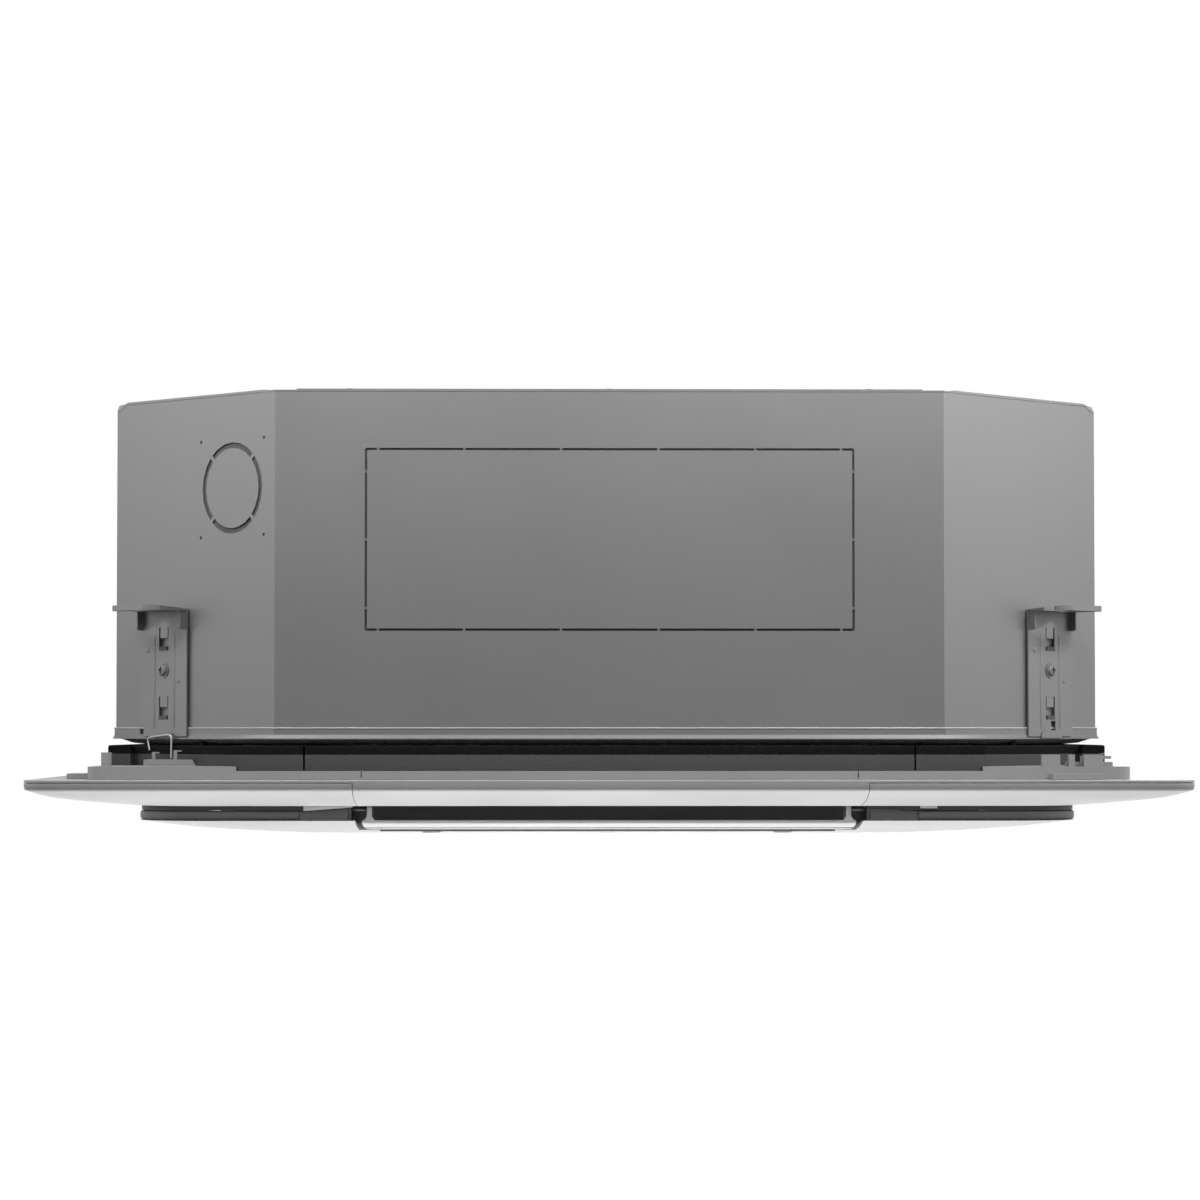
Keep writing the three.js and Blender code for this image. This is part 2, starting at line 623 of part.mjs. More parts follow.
// Pipes: an upright header in the coil's open corner and a straight run out through the chamfer
function coilPipe({ x, z, radius }, headerFrom, headerTo, headerOut) {
  const run = rodAlongY(radius, [-52, headerOut], x, z, 12);
  const header = rod(radius, [headerFrom, headerTo], x, headerOut, 12);
  const nut = rodAlongY(radius * 1.7, [-46, -32], x, z, 6);
  const flare = rodAlongY(radius * 1.25, [-54, -44], x, z, 12);
  return join(run, header, nut, flare);
}

const pipeGroup = () => turnedGroup(CHAMFERS.rear_right.turn, plateX, plateY);
place('gas_pipe', coilPipe(GAS_PIPE, 90, 286, 110), COPPER, pipeGroup());
place('liquid_pipe', coilPipe(LIQUID_PIPE, 84, 292, 74), COPPER, pipeGroup());

// Drain pump at the rear left corner, its impeller below it and the float switch beside it
const pumpBody = join(
  rod(26, [96, 150], PUMP_AT.x, PUMP_AT.y, 16),
  rod(17, [149, 176], PUMP_AT.x, PUMP_AT.y, 16),
  rod(21, [66, 97], PUMP_AT.x, PUMP_AT.y, 16),
);
const pumpChamber = rod(18.5, [50, 92], PUMP_AT.x, PUMP_AT.y, 16);
place('drain_pump', cut(pumpBody, pumpChamber), DARK_PLASTIC);
const paddle = box([-16, 16], [-1.2, 1.2], [68, 86]).translate(PUMP_AT.x, PUMP_AT.y, 0);
const crossPaddle = box([-1.2, 1.2], [-16, 16], [68, 86]).translate(PUMP_AT.x, PUMP_AT.y, 0);
const pumpHub = rod(4, [68, 91], PUMP_AT.x, PUMP_AT.y, 12);
place('pump_impeller', join(pumpHub, paddle, crossPaddle), WHITE_PLASTIC);

const floatStem = join(
  rod(3, [62, 112], FLOAT_AT.x, FLOAT_AT.y, 12),
  rod(5.5, [61, 64], FLOAT_AT.x, FLOAT_AT.y, 12),
  box([-8, 8], [-8, 8], [110, 113]).translate(FLOAT_AT.x, FLOAT_AT.y, 0),
);
place('float_stem', floatStem, WHITE_PLASTIC);
const float = turned([[3.5, 65], [11, 65], [12, 67], [12, 81], [11, 83], [3.5, 83]], 14);
place('float', float.translate(FLOAT_AT.x, FLOAT_AT.y, 0), DARK_PLASTIC);

const drainTube = join(
  rodAlongY(DRAIN_RADIUS, [-45, 14], 0, DRAIN_Z, 16),
  rodAlongY(DRAIN_RADIUS + 5, [-4.5, -GAP], 0, DRAIN_Z, 16),
);
const [drainX, drainY] = onChamfer('rear_left', DRAIN_FROM_BEND);
const drainBore = rodAlongY(DRAIN_RADIUS - DRAIN_WALL, [-50, 20], 0, DRAIN_Z, 16);
const drainGroup = turnedGroup(CHAMFERS.rear_left.turn, drainX, drainY);
place('drain_outlet', cut(drainTube, drainBore), GREY_PLASTIC, drainGroup);

// ---------------------------------------------------------------------------------------------
// Fan
// ---------------------------------------------------------------------------------------------

const motorBody = turned([
  [0, MOTOR_BOTTOM], [MOTOR_RADIUS - 14, MOTOR_BOTTOM], [MOTOR_RADIUS, MOTOR_BOTTOM + 12],
  [MOTOR_RADIUS, MOTOR_TOP - 8], [MOTOR_RADIUS + 14, MOTOR_TOP - 8], [MOTOR_RADIUS + 14, MOTOR_TOP - 4],
  [MOTOR_RADIUS - 6, MOTOR_TOP - 4], [MOTOR_RADIUS - 6, MOTOR_TOP], [0, MOTOR_TOP],
], 24);
place('fan_motor', motorBody, DARK_PLASTIC);
const bracketFeet = [0, 120, 240].map((turn) => {
  return spunAboutZ(rod(9, [MOTOR_TOP - 3.7, CASING_TOP - 3], MOTOR_RADIUS + 4, 0, 10), turn);
});
const bracketDisc = rod(104, [CASING_TOP - 4, CASING_TOP - GAP], 0, 0, 24);
place('motor_bracket', join(bracketDisc, bracketFeet), GALVANISED);

const fanShaft = rod(SHAFT_RADIUS, [166, MOTOR_BOTTOM - GAP], 0, 0, 16);
place('motor_shaft', fanShaft, BRIGHT_STEEL);

const hubBore = SHAFT_RADIUS + GAP;
const backPlate = turned([
  [hubBore, 178], [18, 178], [18, 188], [70, 197], [94, FAN_BACK], [FAN_RADIUS, FAN_BACK],
  [FAN_RADIUS, FAN_BACK + 3], [92, FAN_BACK + 3], [67.5, 200], [hubBore, 192],
], FAN_SIDES);
const shroud = turned([
  [197, 76], [199, 92], [FAN_RADIUS, 114], [FAN_RADIUS, 117], [197, 94], [194.5, 76],
], FAN_SIDES);
const bladeSpace = turned([
  [110, 230], [150, 150], [198, 93], [FAN_RADIUS - 3, 113.5], [FAN_RADIUS - 3, FAN_BACK + 1.5],
  [110, FAN_BACK + 1.5],
], FAN_SIDES);

// Backward-curved blade: the space between two arcs of different radius
function fanBlade() {
  const outline = new THREE.Shape();
  outline.absarc(80, -20, 150, THREE.MathUtils.degToRad(22), THREE.MathUtils.degToRad(64), false);
  outline.absarc(77, -22, 158, THREE.MathUtils.degToRad(62), THREE.MathUtils.degToRad(22), true);
  return common(column(outline, [70, 250], 4), bladeSpace);
}
const blade = fanBlade();
const blades = Array.from({ length: BLADES }, (_, i) => spunAboutZ(blade, (360 / BLADES) * i));
place('fan_impeller', join(backPlate, shroud, blades), DARK_PLASTIC);
const hubNut = cut(rod(11, [168, 178 - GAP], 0, 0, 6), rod(SHAFT_RADIUS + GAP, [160, 180], 0, 0, 16));
place('fan_hub_nut', hubNut, BRIGHT_STEEL);

// Bell mouth: a plate under the drain pan with a flared throat into the impeller
const bellPlate = cut(
  column(roundedSquare(BELL_PLATE_HALF, 30), [BELL_PLATE_Z, PAN_LIP_BOTTOM - GAP]),
  rod(BELL_MOUTH - 2, THROUGH, 0, 0, 32),
);
const bellThroat = turned([
  [BELL_MOUTH, BELL_PLATE_Z], [BELL_MOUTH, BELL_PLATE_Z + 3], [208, 34], [BELL_THROAT + 2.5, 58],
  [BELL_THROAT + 2.5, 80], [BELL_THROAT, 80], [BELL_THROAT, 57], [205, 31],
]);
place('bell_mouth', join(bellPlate, bellThroat), WHITE_PLASTIC);

// Control box under the right side of the bell mouth, open below and closed by its lid
const grown = ([from, to], by) => [from - by, to + by];
const boxY = [-BOX_HALF, BOX_HALF];
const controlTray = cut(
  box(BOX_X, boxY, [BOX_BOTTOM, BELL_PLATE_Z - GAP]),
  box(grown(BOX_X, -BOX_WALL), grown(boxY, -BOX_WALL), [BOX_BOTTOM - 10, BELL_PLATE_Z - 2.5]),
  rodAlongY(9, [BOX_HALF - 10, BOX_HALF + 10], 262, 8),
);
place('control_box', controlTray, GALVANISED);
const lid = join(
  box(grown(BOX_X, 1), grown(boxY, 1), [BOX_BOTTOM - 2, BOX_BOTTOM - GAP]),
  box(grown(BOX_X, -BOX_WALL - 1), [-40, 40], [BOX_BOTTOM - 0.5, BOX_BOTTOM + 2]),
);
place('control_box_lid', lid, GALVANISED);

// ---------------------------------------------------------------------------------------------
// Panel: base, outer frame, corner covers and seal
// ---------------------------------------------------------------------------------------------

// Cuts or corner pieces drawn at the front left corner, repeated round the panel
const onEveryCorner = (piece) => CORNERS.map(([, turn]) => spunAboutZ(piece, turn));
const onEverySide = (piece) => SIDES.map(([, turn]) => spunAboutZ(piece, turn));
const cornerBlock = (from, to, heights) => box([-to, -from], [-to, -from], heights);

const frameBand = cut(
  common(pillow(FRAME_PROFILE, 0), column(roundedSquare(PANEL_HALF, PANEL_CORNER), BELOW)),
  column(roundedSquare(RING_HALF, RING_CORNER), THROUGH),
);
const webPlan = (half, heights) => common(
  column(roundedSquare(half, RING_CORNER), heights),
  cornerBlock(212, FAR, heights),
);
const web = cut(
  join(webPlan(RING_HALF - GAP, WEB), webPlan(RING_HALF + 3, [COVER_BACK, WEB[1]])),
  column(roundedSquare(OUTLET_INNER - 1, DUCT_WALL_CORNER), THROUGH),
);
const ductWall = squareRing(
  OUTLET_INNER,
  DUCT_WALL_CORNER,
  OUTLET_INNER - DUCT_WALL,
  DUCT_WALL_CORNER - DUCT_WALL,
  [-38, BELL_PLATE_Z - 0.5],
);
const coverRoom = cornerBlock(COVER_SEAM, FAR, [BELOW[0], COVER_BACK]);
const frame = cut(
  join(cut(frameBand, onEveryCorner(coverRoom)), onEveryCorner(web), ductWall),
  boltHoles,
);
place('panel_frame', frame, WHITE_PLASTIC);

const coverCorner = common(frameBand, cornerBlock(COVER_SEAM + 0.4, FAR, [BELOW[0], COVER_BACK - GAP]));
for (const [name, turn] of CORNERS) {
  place(`corner_cover_${name}`, coverCorner, WHITE_PLASTIC, turnedGroup(turn));
}

const bolt = join(
  rod(BOLT_RADIUS, [WEB[0] - 3, RIM_TOP + 4], -BOLT_AT, -BOLT_AT, 8),
  rod(6.5, [WEB[0] - 5, WEB[0] - GAP], -BOLT_AT, -BOLT_AT, 6),
);
for (const [name, turn] of CORNERS) {
  place(`panel_bolt_${name}`, bolt, BRIGHT_STEEL, turnedGroup(turn));
}

// Base: a low ring with raised corners that carry the hooks and their catches
const baseRing = cut(
  squareRing(BASE_HALF, BASE_ROUND, 399, 40, [GAP, BASE_TOP]),
  [-203, 203].flatMap((x) => onEverySide(box([x - 0.6, x + 0.6], [-430, -BASE_HALF + 3], [1.5, 10]))),
);
const raisedCorner = join(
  common(
    squareRing(BASE_HALF, BASE_ROUND, 399, 40, [GAP, BASE_CORNER_TOP]),
    cornerBlock(BASE_CORNER_FROM, FAR, THROUGH),
  ),
  cut(
    common(
      column(roundedSquare(BASE_HALF, BASE_ROUND), [6.5, BASE_CORNER_TOP]),
      cornerBlock(305, FAR, THROUGH),
    ),
    box([-318, 318], [-318, 318], THROUGH),
  ),
);
// The boss stands outside the seal, whose corner runs behind it
const bossPlan = new THREE.Shape([
  new THREE.Vector2(-387.5, -BOSS_FRONT), new THREE.Vector2(-343.5, -BOSS_FRONT),
  new THREE.Vector2(-343.5, -358), new THREE.Vector2(-387.5, -314),
]);
const bossFront = new THREE.Shape([
  new THREE.Vector2(-400, BASE_CORNER_TOP - 1), new THREE.Vector2(-343, BASE_CORNER_TOP - 1),
  new THREE.Vector2(-347.3, BOSS_TOP), new THREE.Vector2(-400, BOSS_TOP),
]);
const hookBoss = join(
  common(column(bossPlan, [0, BOSS_TOP]), column(bossFront, [300, 370]).rotateX(Math.PI / 2)),
  [[-380.5, -374.5, 22.1], [-362.5, -356, 23.6]].flatMap(([x0, x1, top]) => [
    box([x0, x0 + 2.8], [-BOSS_FRONT, -355], [BOSS_TOP - 1, top]),
    box([x0, x1], [-BOSS_FRONT, -357], [top - 1.2, top]),
  ]),
);
const peg = rod(4.4, [BASE_CORNER_TOP - 1, 22], -414, -398, 10);
const toothBottom = BASE_TOP - 1;
const catchTeeth = [[353.5, 368.5], [375.5, 380.5], [388, 403.5]].map((across) => (
  box(across, [-BASE_HALF + 0.5, -419], [toothBottom, CATCH_TOP])
));
const catchBack = join(
  box([375.5, 412.5], [-420, -404], [BASE_CORNER_TOP - 1, 14.2]),
  box([388, 412.5], [-412, -406], [16.7, 19.1]),
  box([388, 400], [-420, -404], [13, 19.1]),
);
const endTab = cut(
  box([-446, -BASE_HALF + 1], [-402, -360], [GAP, 4.6]),
  rod(2.2, [-5, 20], -440, -372, 6),
  rod(2.2, [-5, 20], -433, -390, 6),
);
const halfTurns = (piece) => [piece, spunAboutZ(piece, 180)];
const base = cut(
  join(
    baseRing,
    onEveryCorner(raisedCorner),
    halfTurns(join(hookBoss, peg)),
    halfTurns(join(catchBack, catchTeeth)),
    onEveryCorner(endTab),
  ),
  boltHoles,
);
place('panel_base', base, GREY_PLASTIC);

const sealHeights = [BASE_TOP + GAP, SEAL_TOP];
const sealRing = cut(
  column(chamferedSquare(410, 121), sealHeights),
  column(chamferedSquare(392, 112), THROUGH),
);
const sealStrip = box([-308, 308], [-423, -404], sealHeights);
const sealNotch = box([-0.8, 0.8], [-430, -412], THROUGH);
const seal = cut(
  join(sealRing, onEverySide(sealStrip)),
  [-250, 250].flatMap((x) => onEverySide(sealNotch.clone().translate(x, 0, 0))),
  onEveryCorner(cornerBlock(304, FAR, [0, BASE_CORNER_TOP + GAP])),
  boltHoles,
);
place('foam_seal', seal, BLACK_FOAM);

// Temporary hooks of bent wire, standing on the bosses and reaching over the casing's rim
const HOOK_FOOT = BOSS_TOP + HOOK_WIRE;
function wireHook() {
  const route = [
    [14, HOOK_FOOT], [14, 24], [14, 33], [12.6, 35.4], [9.5, 36.2], [0, 35.6], [-12, 34.5], [-15.6, 33.6],
    [-16.8, 31.6], [-16.2, 28], [-14.6, 23.4],
  ];
  const points = route.map(([x, z]) => new THREE.Vector3(x, -6, z));
  const section = new THREE.Shape();
  section.absarc(0, 0, HOOK_WIRE, 0, 2 * Math.PI);
  const settings = { extrudePath: new THREE.CatmullRomCurve3(points), steps: 22, curveSegments: 3 };
  return new THREE.ExtrudeGeometry(section, { ...settings, bevelEnabled: false });
}
for (const corner of ['front_left', 'rear_right']) {
  const [x, y] = onChamfer(corner, bracketFromBend());
  place(`temporary_hook_${corner}`, wireHook(), BRIGHT_STEEL, turnedGroup(CHAMFERS[corner].turn, x, y));
}

// ---------------------------------------------------------------------------------------------
// Panel: corner guides, centre cover, flaps and their motors
// ---------------------------------------------------------------------------------------------

const GUIDE = [COVER_RIM_Z + GAP, WEB[0] - GAP];
const guideWall = common(
  squareRing(RING_HALF - 0.5, RING_CORNER, RING_HALF - 6.5, RING_CORNER - 6, GUIDE),
  cornerBlock(GUIDE_FROM, FAR, BELOW),
);
const pinBore = 3;
const cheek = cut(
  box([-GUIDE_FROM - 3, -GUIDE_FROM], [-RING_HALF + 1, -346], GUIDE),
  rodAlongX(pinBore, [-230, -200], -FLAP_AXIS_OUT, FLAP_AXIS_Z, 10),
);
const guide = join(guideWall, cheek, spunAboutZ(mirroredAcross(cheek), 270));
for (const [name, turn] of CORNERS) {
  place(`corner_guide_${name}`, guide, DARK_PLASTIC, turnedGroup(turn));
}

const coverBowl = common(
  pillow(COVER_PROFILE, COVER_RIM_Z),
  column(roundedSquare(RING_HALF, RING_CORNER), BELOW),
);
const coverHollow = common(
  pillow(COVER_PROFILE, -20, COVER_SHELL),
  column(roundedSquare(RING_HALF - COVER_SHELL, RING_CORNER - COVER_SHELL), BELOW),
);
const flapRoom = box([-FLAP_HALF - 6, FLAP_HALF + 6], [-FAR, -FLAP_INNER + 2.3], BELOW);
const grilleSpan = [-GRILLE_HALF - 2, GRILLE_HALF + 2];
const grilleRoom = box(grilleSpan, grilleSpan, BELOW);
const hingeBosses = [-1, 1].map((side) => {
  const across = [side * (GRILLE_HALF + 2), side * 311.5].sort((a, b) => a - b);
  const boss = box(across, [GRILLE_HINGE_Y - 6, GRILLE_HINGE_Y + 6], [-44.2, -37]);
  return cut(boss, rodAlongX(2, [side * 310 - 20, side * 310 + 20], GRILLE_HINGE_Y, GRILLE_HINGE_Z, 12));
});
const pinWay = [-306, 306].map((x) => rodAlongX(2, [x - 4, x + 4], GRILLE_HINGE_Y, GRILLE_HINGE_Z, 12));
const coverFrame = cut(cut(coverBowl, coverHollow), onEverySide(flapRoom), grilleRoom, pinWay);
place('centre_cover', join(coverFrame, hingeBosses), WHITE_PLASTIC);

function flap() {
  const vane = barAlongX([
    [-FLAP_OUTER, -34.2], [-FLAP_OUTER, -36.3], [-390.5, -38.8], [-385.5, -41.2], [-FLAP_INNER, -43.4],
    [-FLAP_INNER, -40.8], [-384.8, -38.4], [-388.4, -34.2],
  ], [-FLAP_HALF, FLAP_HALF]);
  const front = new THREE.Shape();
  front.moveTo(FLAP_HALF, -30);
  front.lineTo(-FLAP_HALF, -30);
  front.lineTo(-FLAP_HALF, -35.8);
  front.quadraticCurveTo(-FLAP_HALF + 1, -41.5, -FLAP_HALF + 16, -43.8);
  front.lineTo(FLAP_HALF - 16, -43.8);
  front.quadraticCurveTo(FLAP_HALF - 1, -41.5, FLAP_HALF, -35.8);
  const endCurves = column(front, [0, 500], 3).rotateX(Math.PI / 2);
  const armSide = [[-391, -36], [-391, -22.8], [-368, -18.6], [-361, -18.6], [-358, -24], [-350, -42]];
  const foot = new THREE.Shape([
    new THREE.Vector2(-4.5, -34.6), new THREE.Vector2(4.5, -34.6),
    new THREE.Vector2(1.8, -30.4), new THREE.Vector2(-1.8, -30.4),
  ]);
  const pieces = [-1, 1].flatMap((side) => {
    const middle = side * FLAP_ARM_AT;
    const pinEnds = [side * (FLAP_ARM_AT + 1), side * (GUIDE_FROM + 2.6)].sort((a, b) => a - b);
    return [
      barAlongX(armSide, [middle - FLAP_ARM / 2, middle + FLAP_ARM / 2]),
      column(foot, [386.5, 391.5]).rotateX(Math.PI / 2).translate(middle, 0, 0),
      rodAlongX(pinBore - 0.5, pinEnds, -FLAP_AXIS_OUT, FLAP_AXIS_Z, 8),
    ];
  });
  return join(common(vane, endCurves), pieces);
}
const flapMotor = join(
  rodAlongX(10.3, [GUIDE_FROM + 3 + GAP, GUIDE_FROM + 20], -FLAP_AXIS_OUT, FLAP_AXIS_Z, 14),
  box([GUIDE_FROM + 5, GUIDE_FROM + 19], [-372, -358], [-16, WEB[0] - GAP]),
);
for (const [name, turn] of SIDES) {
  const side = turnedGroup(turn);
  place(`flap_${name}`, flap(), WHITE_PLASTIC, side);
  place(`flap_motor_${name}`, flapMotor, GREY_PLASTIC, side);
}

// ---------------------------------------------------------------------------------------------
// Panel: intake grille, its latches and the air filter
// ---------------------------------------------------------------------------------------------

const grillePlate = cut(
  common(pillow(COVER_PROFILE, -34), column(roundedSquare(GRILLE_HALF, 3), BELOW, 2)),
  pillow(COVER_PROFILE, -20, GRILLE_SHELL),
);
const grilleWall = squareRing(GRILLE_HALF, 3, GRILLE_HALF - 2.5, 1, [-43.5, -33]);
const intakeSlots = Array.from({ length: SLOT_ROWS }, (_, row) => {
  const y = (row - (SLOT_ROWS - 1) / 2) * SLOT_PITCH;
  return [[-286, -6], [6, 286]].map((across) => box(across, [y - SLOT_HALF, y + SLOT_HALF], BELOW));
});
const filterPosts = [-150, 0, 150].flatMap((at) => [-1, 1].flatMap((side) => {
  const across = [side * 281 - 3, side * 281 + 3];
  return [box(across, [at - 10, at + 10], [-45.4, -31.3])];
}));
const latchWindows = LATCH_X.flatMap((x) => [
  box([x - 13, x + 13], [-305, -295], [-41.9, -37.2]),
  box([x - 8.5, x + 8.5], [-295.5, -278.5], [-60, -30]),
]);
const hingePins = [-1, 1].map((side) => {
  const ends = [side * (GRILLE_HALF - 2), side * (GRILLE_HALF + 6)].sort((a, b) => a - b);
  return rodAlongX(1.5, ends, GRILLE_HINGE_Y, GRILLE_HINGE_Z, 10);
});
const grille = cut(join(grillePlate, grilleWall, filterPosts, hingePins), intakeSlots, latchWindows);
place('intake_grille', grille, WHITE_PLASTIC);

for (const [i, name] of ['left', 'right'].entries()) {
  const x = LATCH_X[i];
  const latch = join(
    box([x - 12, x + 12], [-303.4, -276], [-41.3, -37.8]),
    box([x - 7, x + 7], [-286, -280], [-47.2, -41]),
  );
  place(`grille_latch_${name}`, latch, GREY_PLASTIC);
}

const filterFrame = squareRing(285, 6, 277, 2, [-31, -25]);
const filterRibs = [
  ...[-92, 92].map((x) => box([x - 2, x + 2], [-280, 280], [-31, -26])),
  box([-280, 280], [-2, 2], [-31, -26]),
];
const filterMesh = box([-280, 280], [-280, 280], [-28.4, -27.6]);
place('air_filter', join(filterFrame, filterRibs, filterMesh), DARK_PLASTIC);

export default unit;
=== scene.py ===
"""Ceiling cassette air conditioner: the looks of casing, panel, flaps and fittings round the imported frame.

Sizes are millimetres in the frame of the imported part: +Z up, the origin at the centre of the ceiling opening,
the side with the rectangular knock-out towards -Y. Meshes are scaled to metres when they are made.
"""

import math

import bmesh
import bpy
from mathutils import Matrix, Vector


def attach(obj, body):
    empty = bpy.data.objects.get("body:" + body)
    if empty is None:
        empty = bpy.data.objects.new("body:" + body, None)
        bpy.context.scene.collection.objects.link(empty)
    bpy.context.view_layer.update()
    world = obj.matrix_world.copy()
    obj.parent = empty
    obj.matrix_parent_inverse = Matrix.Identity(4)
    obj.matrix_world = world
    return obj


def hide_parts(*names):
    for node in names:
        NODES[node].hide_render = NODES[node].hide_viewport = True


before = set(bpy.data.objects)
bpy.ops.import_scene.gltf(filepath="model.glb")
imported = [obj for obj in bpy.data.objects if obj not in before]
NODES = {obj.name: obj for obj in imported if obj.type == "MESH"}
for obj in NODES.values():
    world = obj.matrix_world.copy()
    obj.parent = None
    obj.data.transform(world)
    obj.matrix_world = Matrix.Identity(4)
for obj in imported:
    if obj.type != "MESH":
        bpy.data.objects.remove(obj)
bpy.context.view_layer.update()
MM = 0.001

# Casing
CASING_HALF = 420
CASING_CUT = 145.5
CASING_FLAT = CASING_HALF - CASING_CUT
ROOF_Z = 319.5

# Brackets
BRACKET_FROM_BEND = 138.24
BRACKET_FACE = -3.3

# Panel
PANEL_HALF = 475
PANEL_CORNER = 30
RING_HALF = 393
RING_CORNER = 60
COVER_SEAM = 208
COVER_TOP = -2.5
GUIDE_FROM = 213
GUIDE_SEAM = 256
BOWL_PROFILE = [(393, -34.5), (364.4, -39.2), (335, -42.5), (298, -45.6), (235, -49), (110, -50.7), (0, -51)]
FLAP_HALF = 204
FLAP_AXIS = (-365, -24.5)
# Height above which the frame moulding's faces carry painted shade.
PAINTED_SHADE_BOTTOM = -9.2
GRILLE_HALF = 302
GRILLE_HINGE = (298, -41.5)
FILTER_HALF = 285
FAR = 500

SIDES = {"front": 0, "right": 90, "rear": 180, "left": 270}
CORNERS = {"front_left": 0, "front_right": 90, "rear_right": 180, "rear_left": 270}
CHAMFERS = {
    "front_left": (-1, -1, -45),
    "front_right": (1, -1, 45),
    "rear_right": (1, 1, 135),
    "rear_left": (-1, 1, -135),
}


# --------------------------------------------------------------------------------------------------
# Shapes: each is a pair of points and faces, in mm
# --------------------------------------------------------------------------------------------------


def smooth_curve(points, per_span=6):
    """Points on a smooth curve through the given ones."""
    given = [Vector(p) for p in points]
    padded = [2 * given[0] - given[1], *given, 2 * given[-1] - given[-2]]
    curve = []
    for a, b, c, d in zip(padded, padded[1:], padded[2:], padded[3:]):
        for i in range(per_span):
            t = i / per_span
            bend = (2 * a - 5 * b + 4 * c - d) * t**2 + (3 * b - a - 3 * c + d) * t**3
            curve.append(0.5 * (2 * b + (c - a) * t + bend))
    return [*curve, given[-1]]


def loft(rings, capped=True):
    """The skin over rings of equally many points."""
    count = len(rings[0])
    points = [tuple(p) for ring in rings for p in ring]
    faces = []
    for r in range(len(rings) - 1):
        for i in range(count):
            j = (i + 1) % count
            faces.append((r * count + i, r * count + j, (r + 1) * count + j, (r + 1) * count + i))
    if capped:
        faces.append(tuple(range(count)))
        faces.append(tuple((len(rings) - 1) * count + i for i in reversed(range(count))))
    return points, faces


def merge(*shapes):
    points, faces = [], []
    for shape_points, shape_faces in shapes:
        start = len(points)
        points.extend(shape_points)
        faces.extend(tuple(start + i for i in face) for face in shape_faces)
    return points, faces


def moved(shape, matrix):
    points, faces = shape
    return [tuple(matrix @ Vector(p)) for p in points], faces


def shifted(shape, x=0, y=0, z=0):
    return moved(shape, Matrix.Translation((x, y, z)))


def turned(shape, degrees):
    return moved(shape, Matrix.Rotation(math.radians(degrees), 4, "Z"))


def prism(outline, z0, z1):
    """An outline in plan raised from z0 to z1."""
    return loft([[(x, y, z) for x, y in outline] for z in (z0, z1)])


def upright(outline, y0, y1):
    """An outline of (x, z) points run from y0 to y1."""
    return loft([[(x, y, z) for x, z in outline] for y in (y0, y1)])


def block(xs, ys, zs):
    return prism([(xs[0], ys[0]), (xs[1], ys[0]), (xs[1], ys[1]), (xs[0], ys[1])], *zs)


def bar_along_x(profile, stations):
    """A closed outline of (y, z) points run along X through the stations."""
    return loft([[(x, y, z) for y, z in profile] for x in stations])


def lathe(profile, sides=48):
    """A closed outline of (radius, height) points turned about Z."""
    rings = []
    for i in range(sides):
        angle = 2 * math.pi * i / sides
        rings.append([(r * math.cos(angle), r * math.sin(angle), z) for r, z in profile])
    rings.append(rings[0])
    return loft(rings, capped=False)


def rod_along_x(radius, ends, place, sides=24):
    """A round rod along X between two ends, moved to a place."""
    rod = lathe([(0.01, ends[0]), (radius, ends[0]), (radius, ends[1]), (0.01, ends[1])], sides)
    return shifted(moved(rod, Matrix.Rotation(math.pi / 2, 4, "Y")), *place)


def tube(path, radius, sides):
    """A round rod along a list of points."""
    path = [Vector(p) for p in path]
    rings = []
    side = None
    for i, point in enumerate(path):
        along = (path[min(i + 1, len(path) - 1)] - path[max(i - 1, 0)]).normalized()
        if side is None:
            side = along.orthogonal().normalized()
        side = (side - along * side.dot(along)).normalized()
        other = along.cross(side)
        angles = [2 * math.pi * k / sides for k in range(sides)]
        rings.append([point + radius * (math.cos(a) * side + math.sin(a) * other) for a in angles])
    return loft(rings)


def arc(centre, radius, start, end, steps):
    """Points on an arc in plan, between two angles in degrees."""
    angles = [math.radians(start + (end - start) * i / steps) for i in range(steps + 1)]
    return [(centre[0] + radius * math.cos(a), centre[1] + radius * math.sin(a)) for a in angles]


def rounded_square(half, radius, steps=12):
    inner = half - radius
    outline = []
    for sx, sy, start in ((1, 1, 0), (-1, 1, 90), (-1, -1, 180), (1, -1, 270)):
        outline.extend(arc((sx * inner, sy * inner), radius, start, start + 90, steps))
    return outline


def chamfer_matrix(corner, from_bend=BRACKET_FROM_BEND):
    """From the frame of a chamfer's face (outside towards -Y) to the part's frame."""
    x, y, turn = CHAMFERS[corner]
    along = from_bend / math.sqrt(2)
    place = Matrix.Translation((x * (CASING_FLAT + along), y * (CASING_HALF - along), 0))
    return place @ Matrix.Rotation(math.radians(turn), 4, "Z")


def interpolate(profile, at):
    """Height of a smooth profile of (distance, height) points, falling in distance, at a distance."""
    for (d0, z0), (d1, z1) in zip(profile, profile[1:]):
        if d1 <= at <= d0:
            return z0 + (z1 - z0) * ((d0 - at) / (d0 - d1) if d0 != d1 else 0)
    return profile[0][1] if at > profile[0][0] else profile[-1][1]


BOWL = [tuple(p) for p in smooth_curve(BOWL_PROFILE, 10)]


def ring_distance(x, y):
    """Half width of the rounded square through a point, of the family that shrinks with its corner radius."""
    share = RING_CORNER / RING_HALF
    u, v = max(abs(x), abs(y)), min(abs(x), abs(y))
    if u == 0 or v / u <= 1 - share:
        return u
    inner = 1 - share
    a = 2 * inner**2 - share**2
    b = -2 * inner * (u + v)
    c = u * u + v * v
    return (-b - math.sqrt(max(b * b - 4 * a * c, 0))) / (2 * a)


def bowl_z(x, y):
    return interpolate(BOWL, ring_distance(x, y))


# --------------------------------------------------------------------------------------------------
# Pieces
# --------------------------------------------------------------------------------------------------


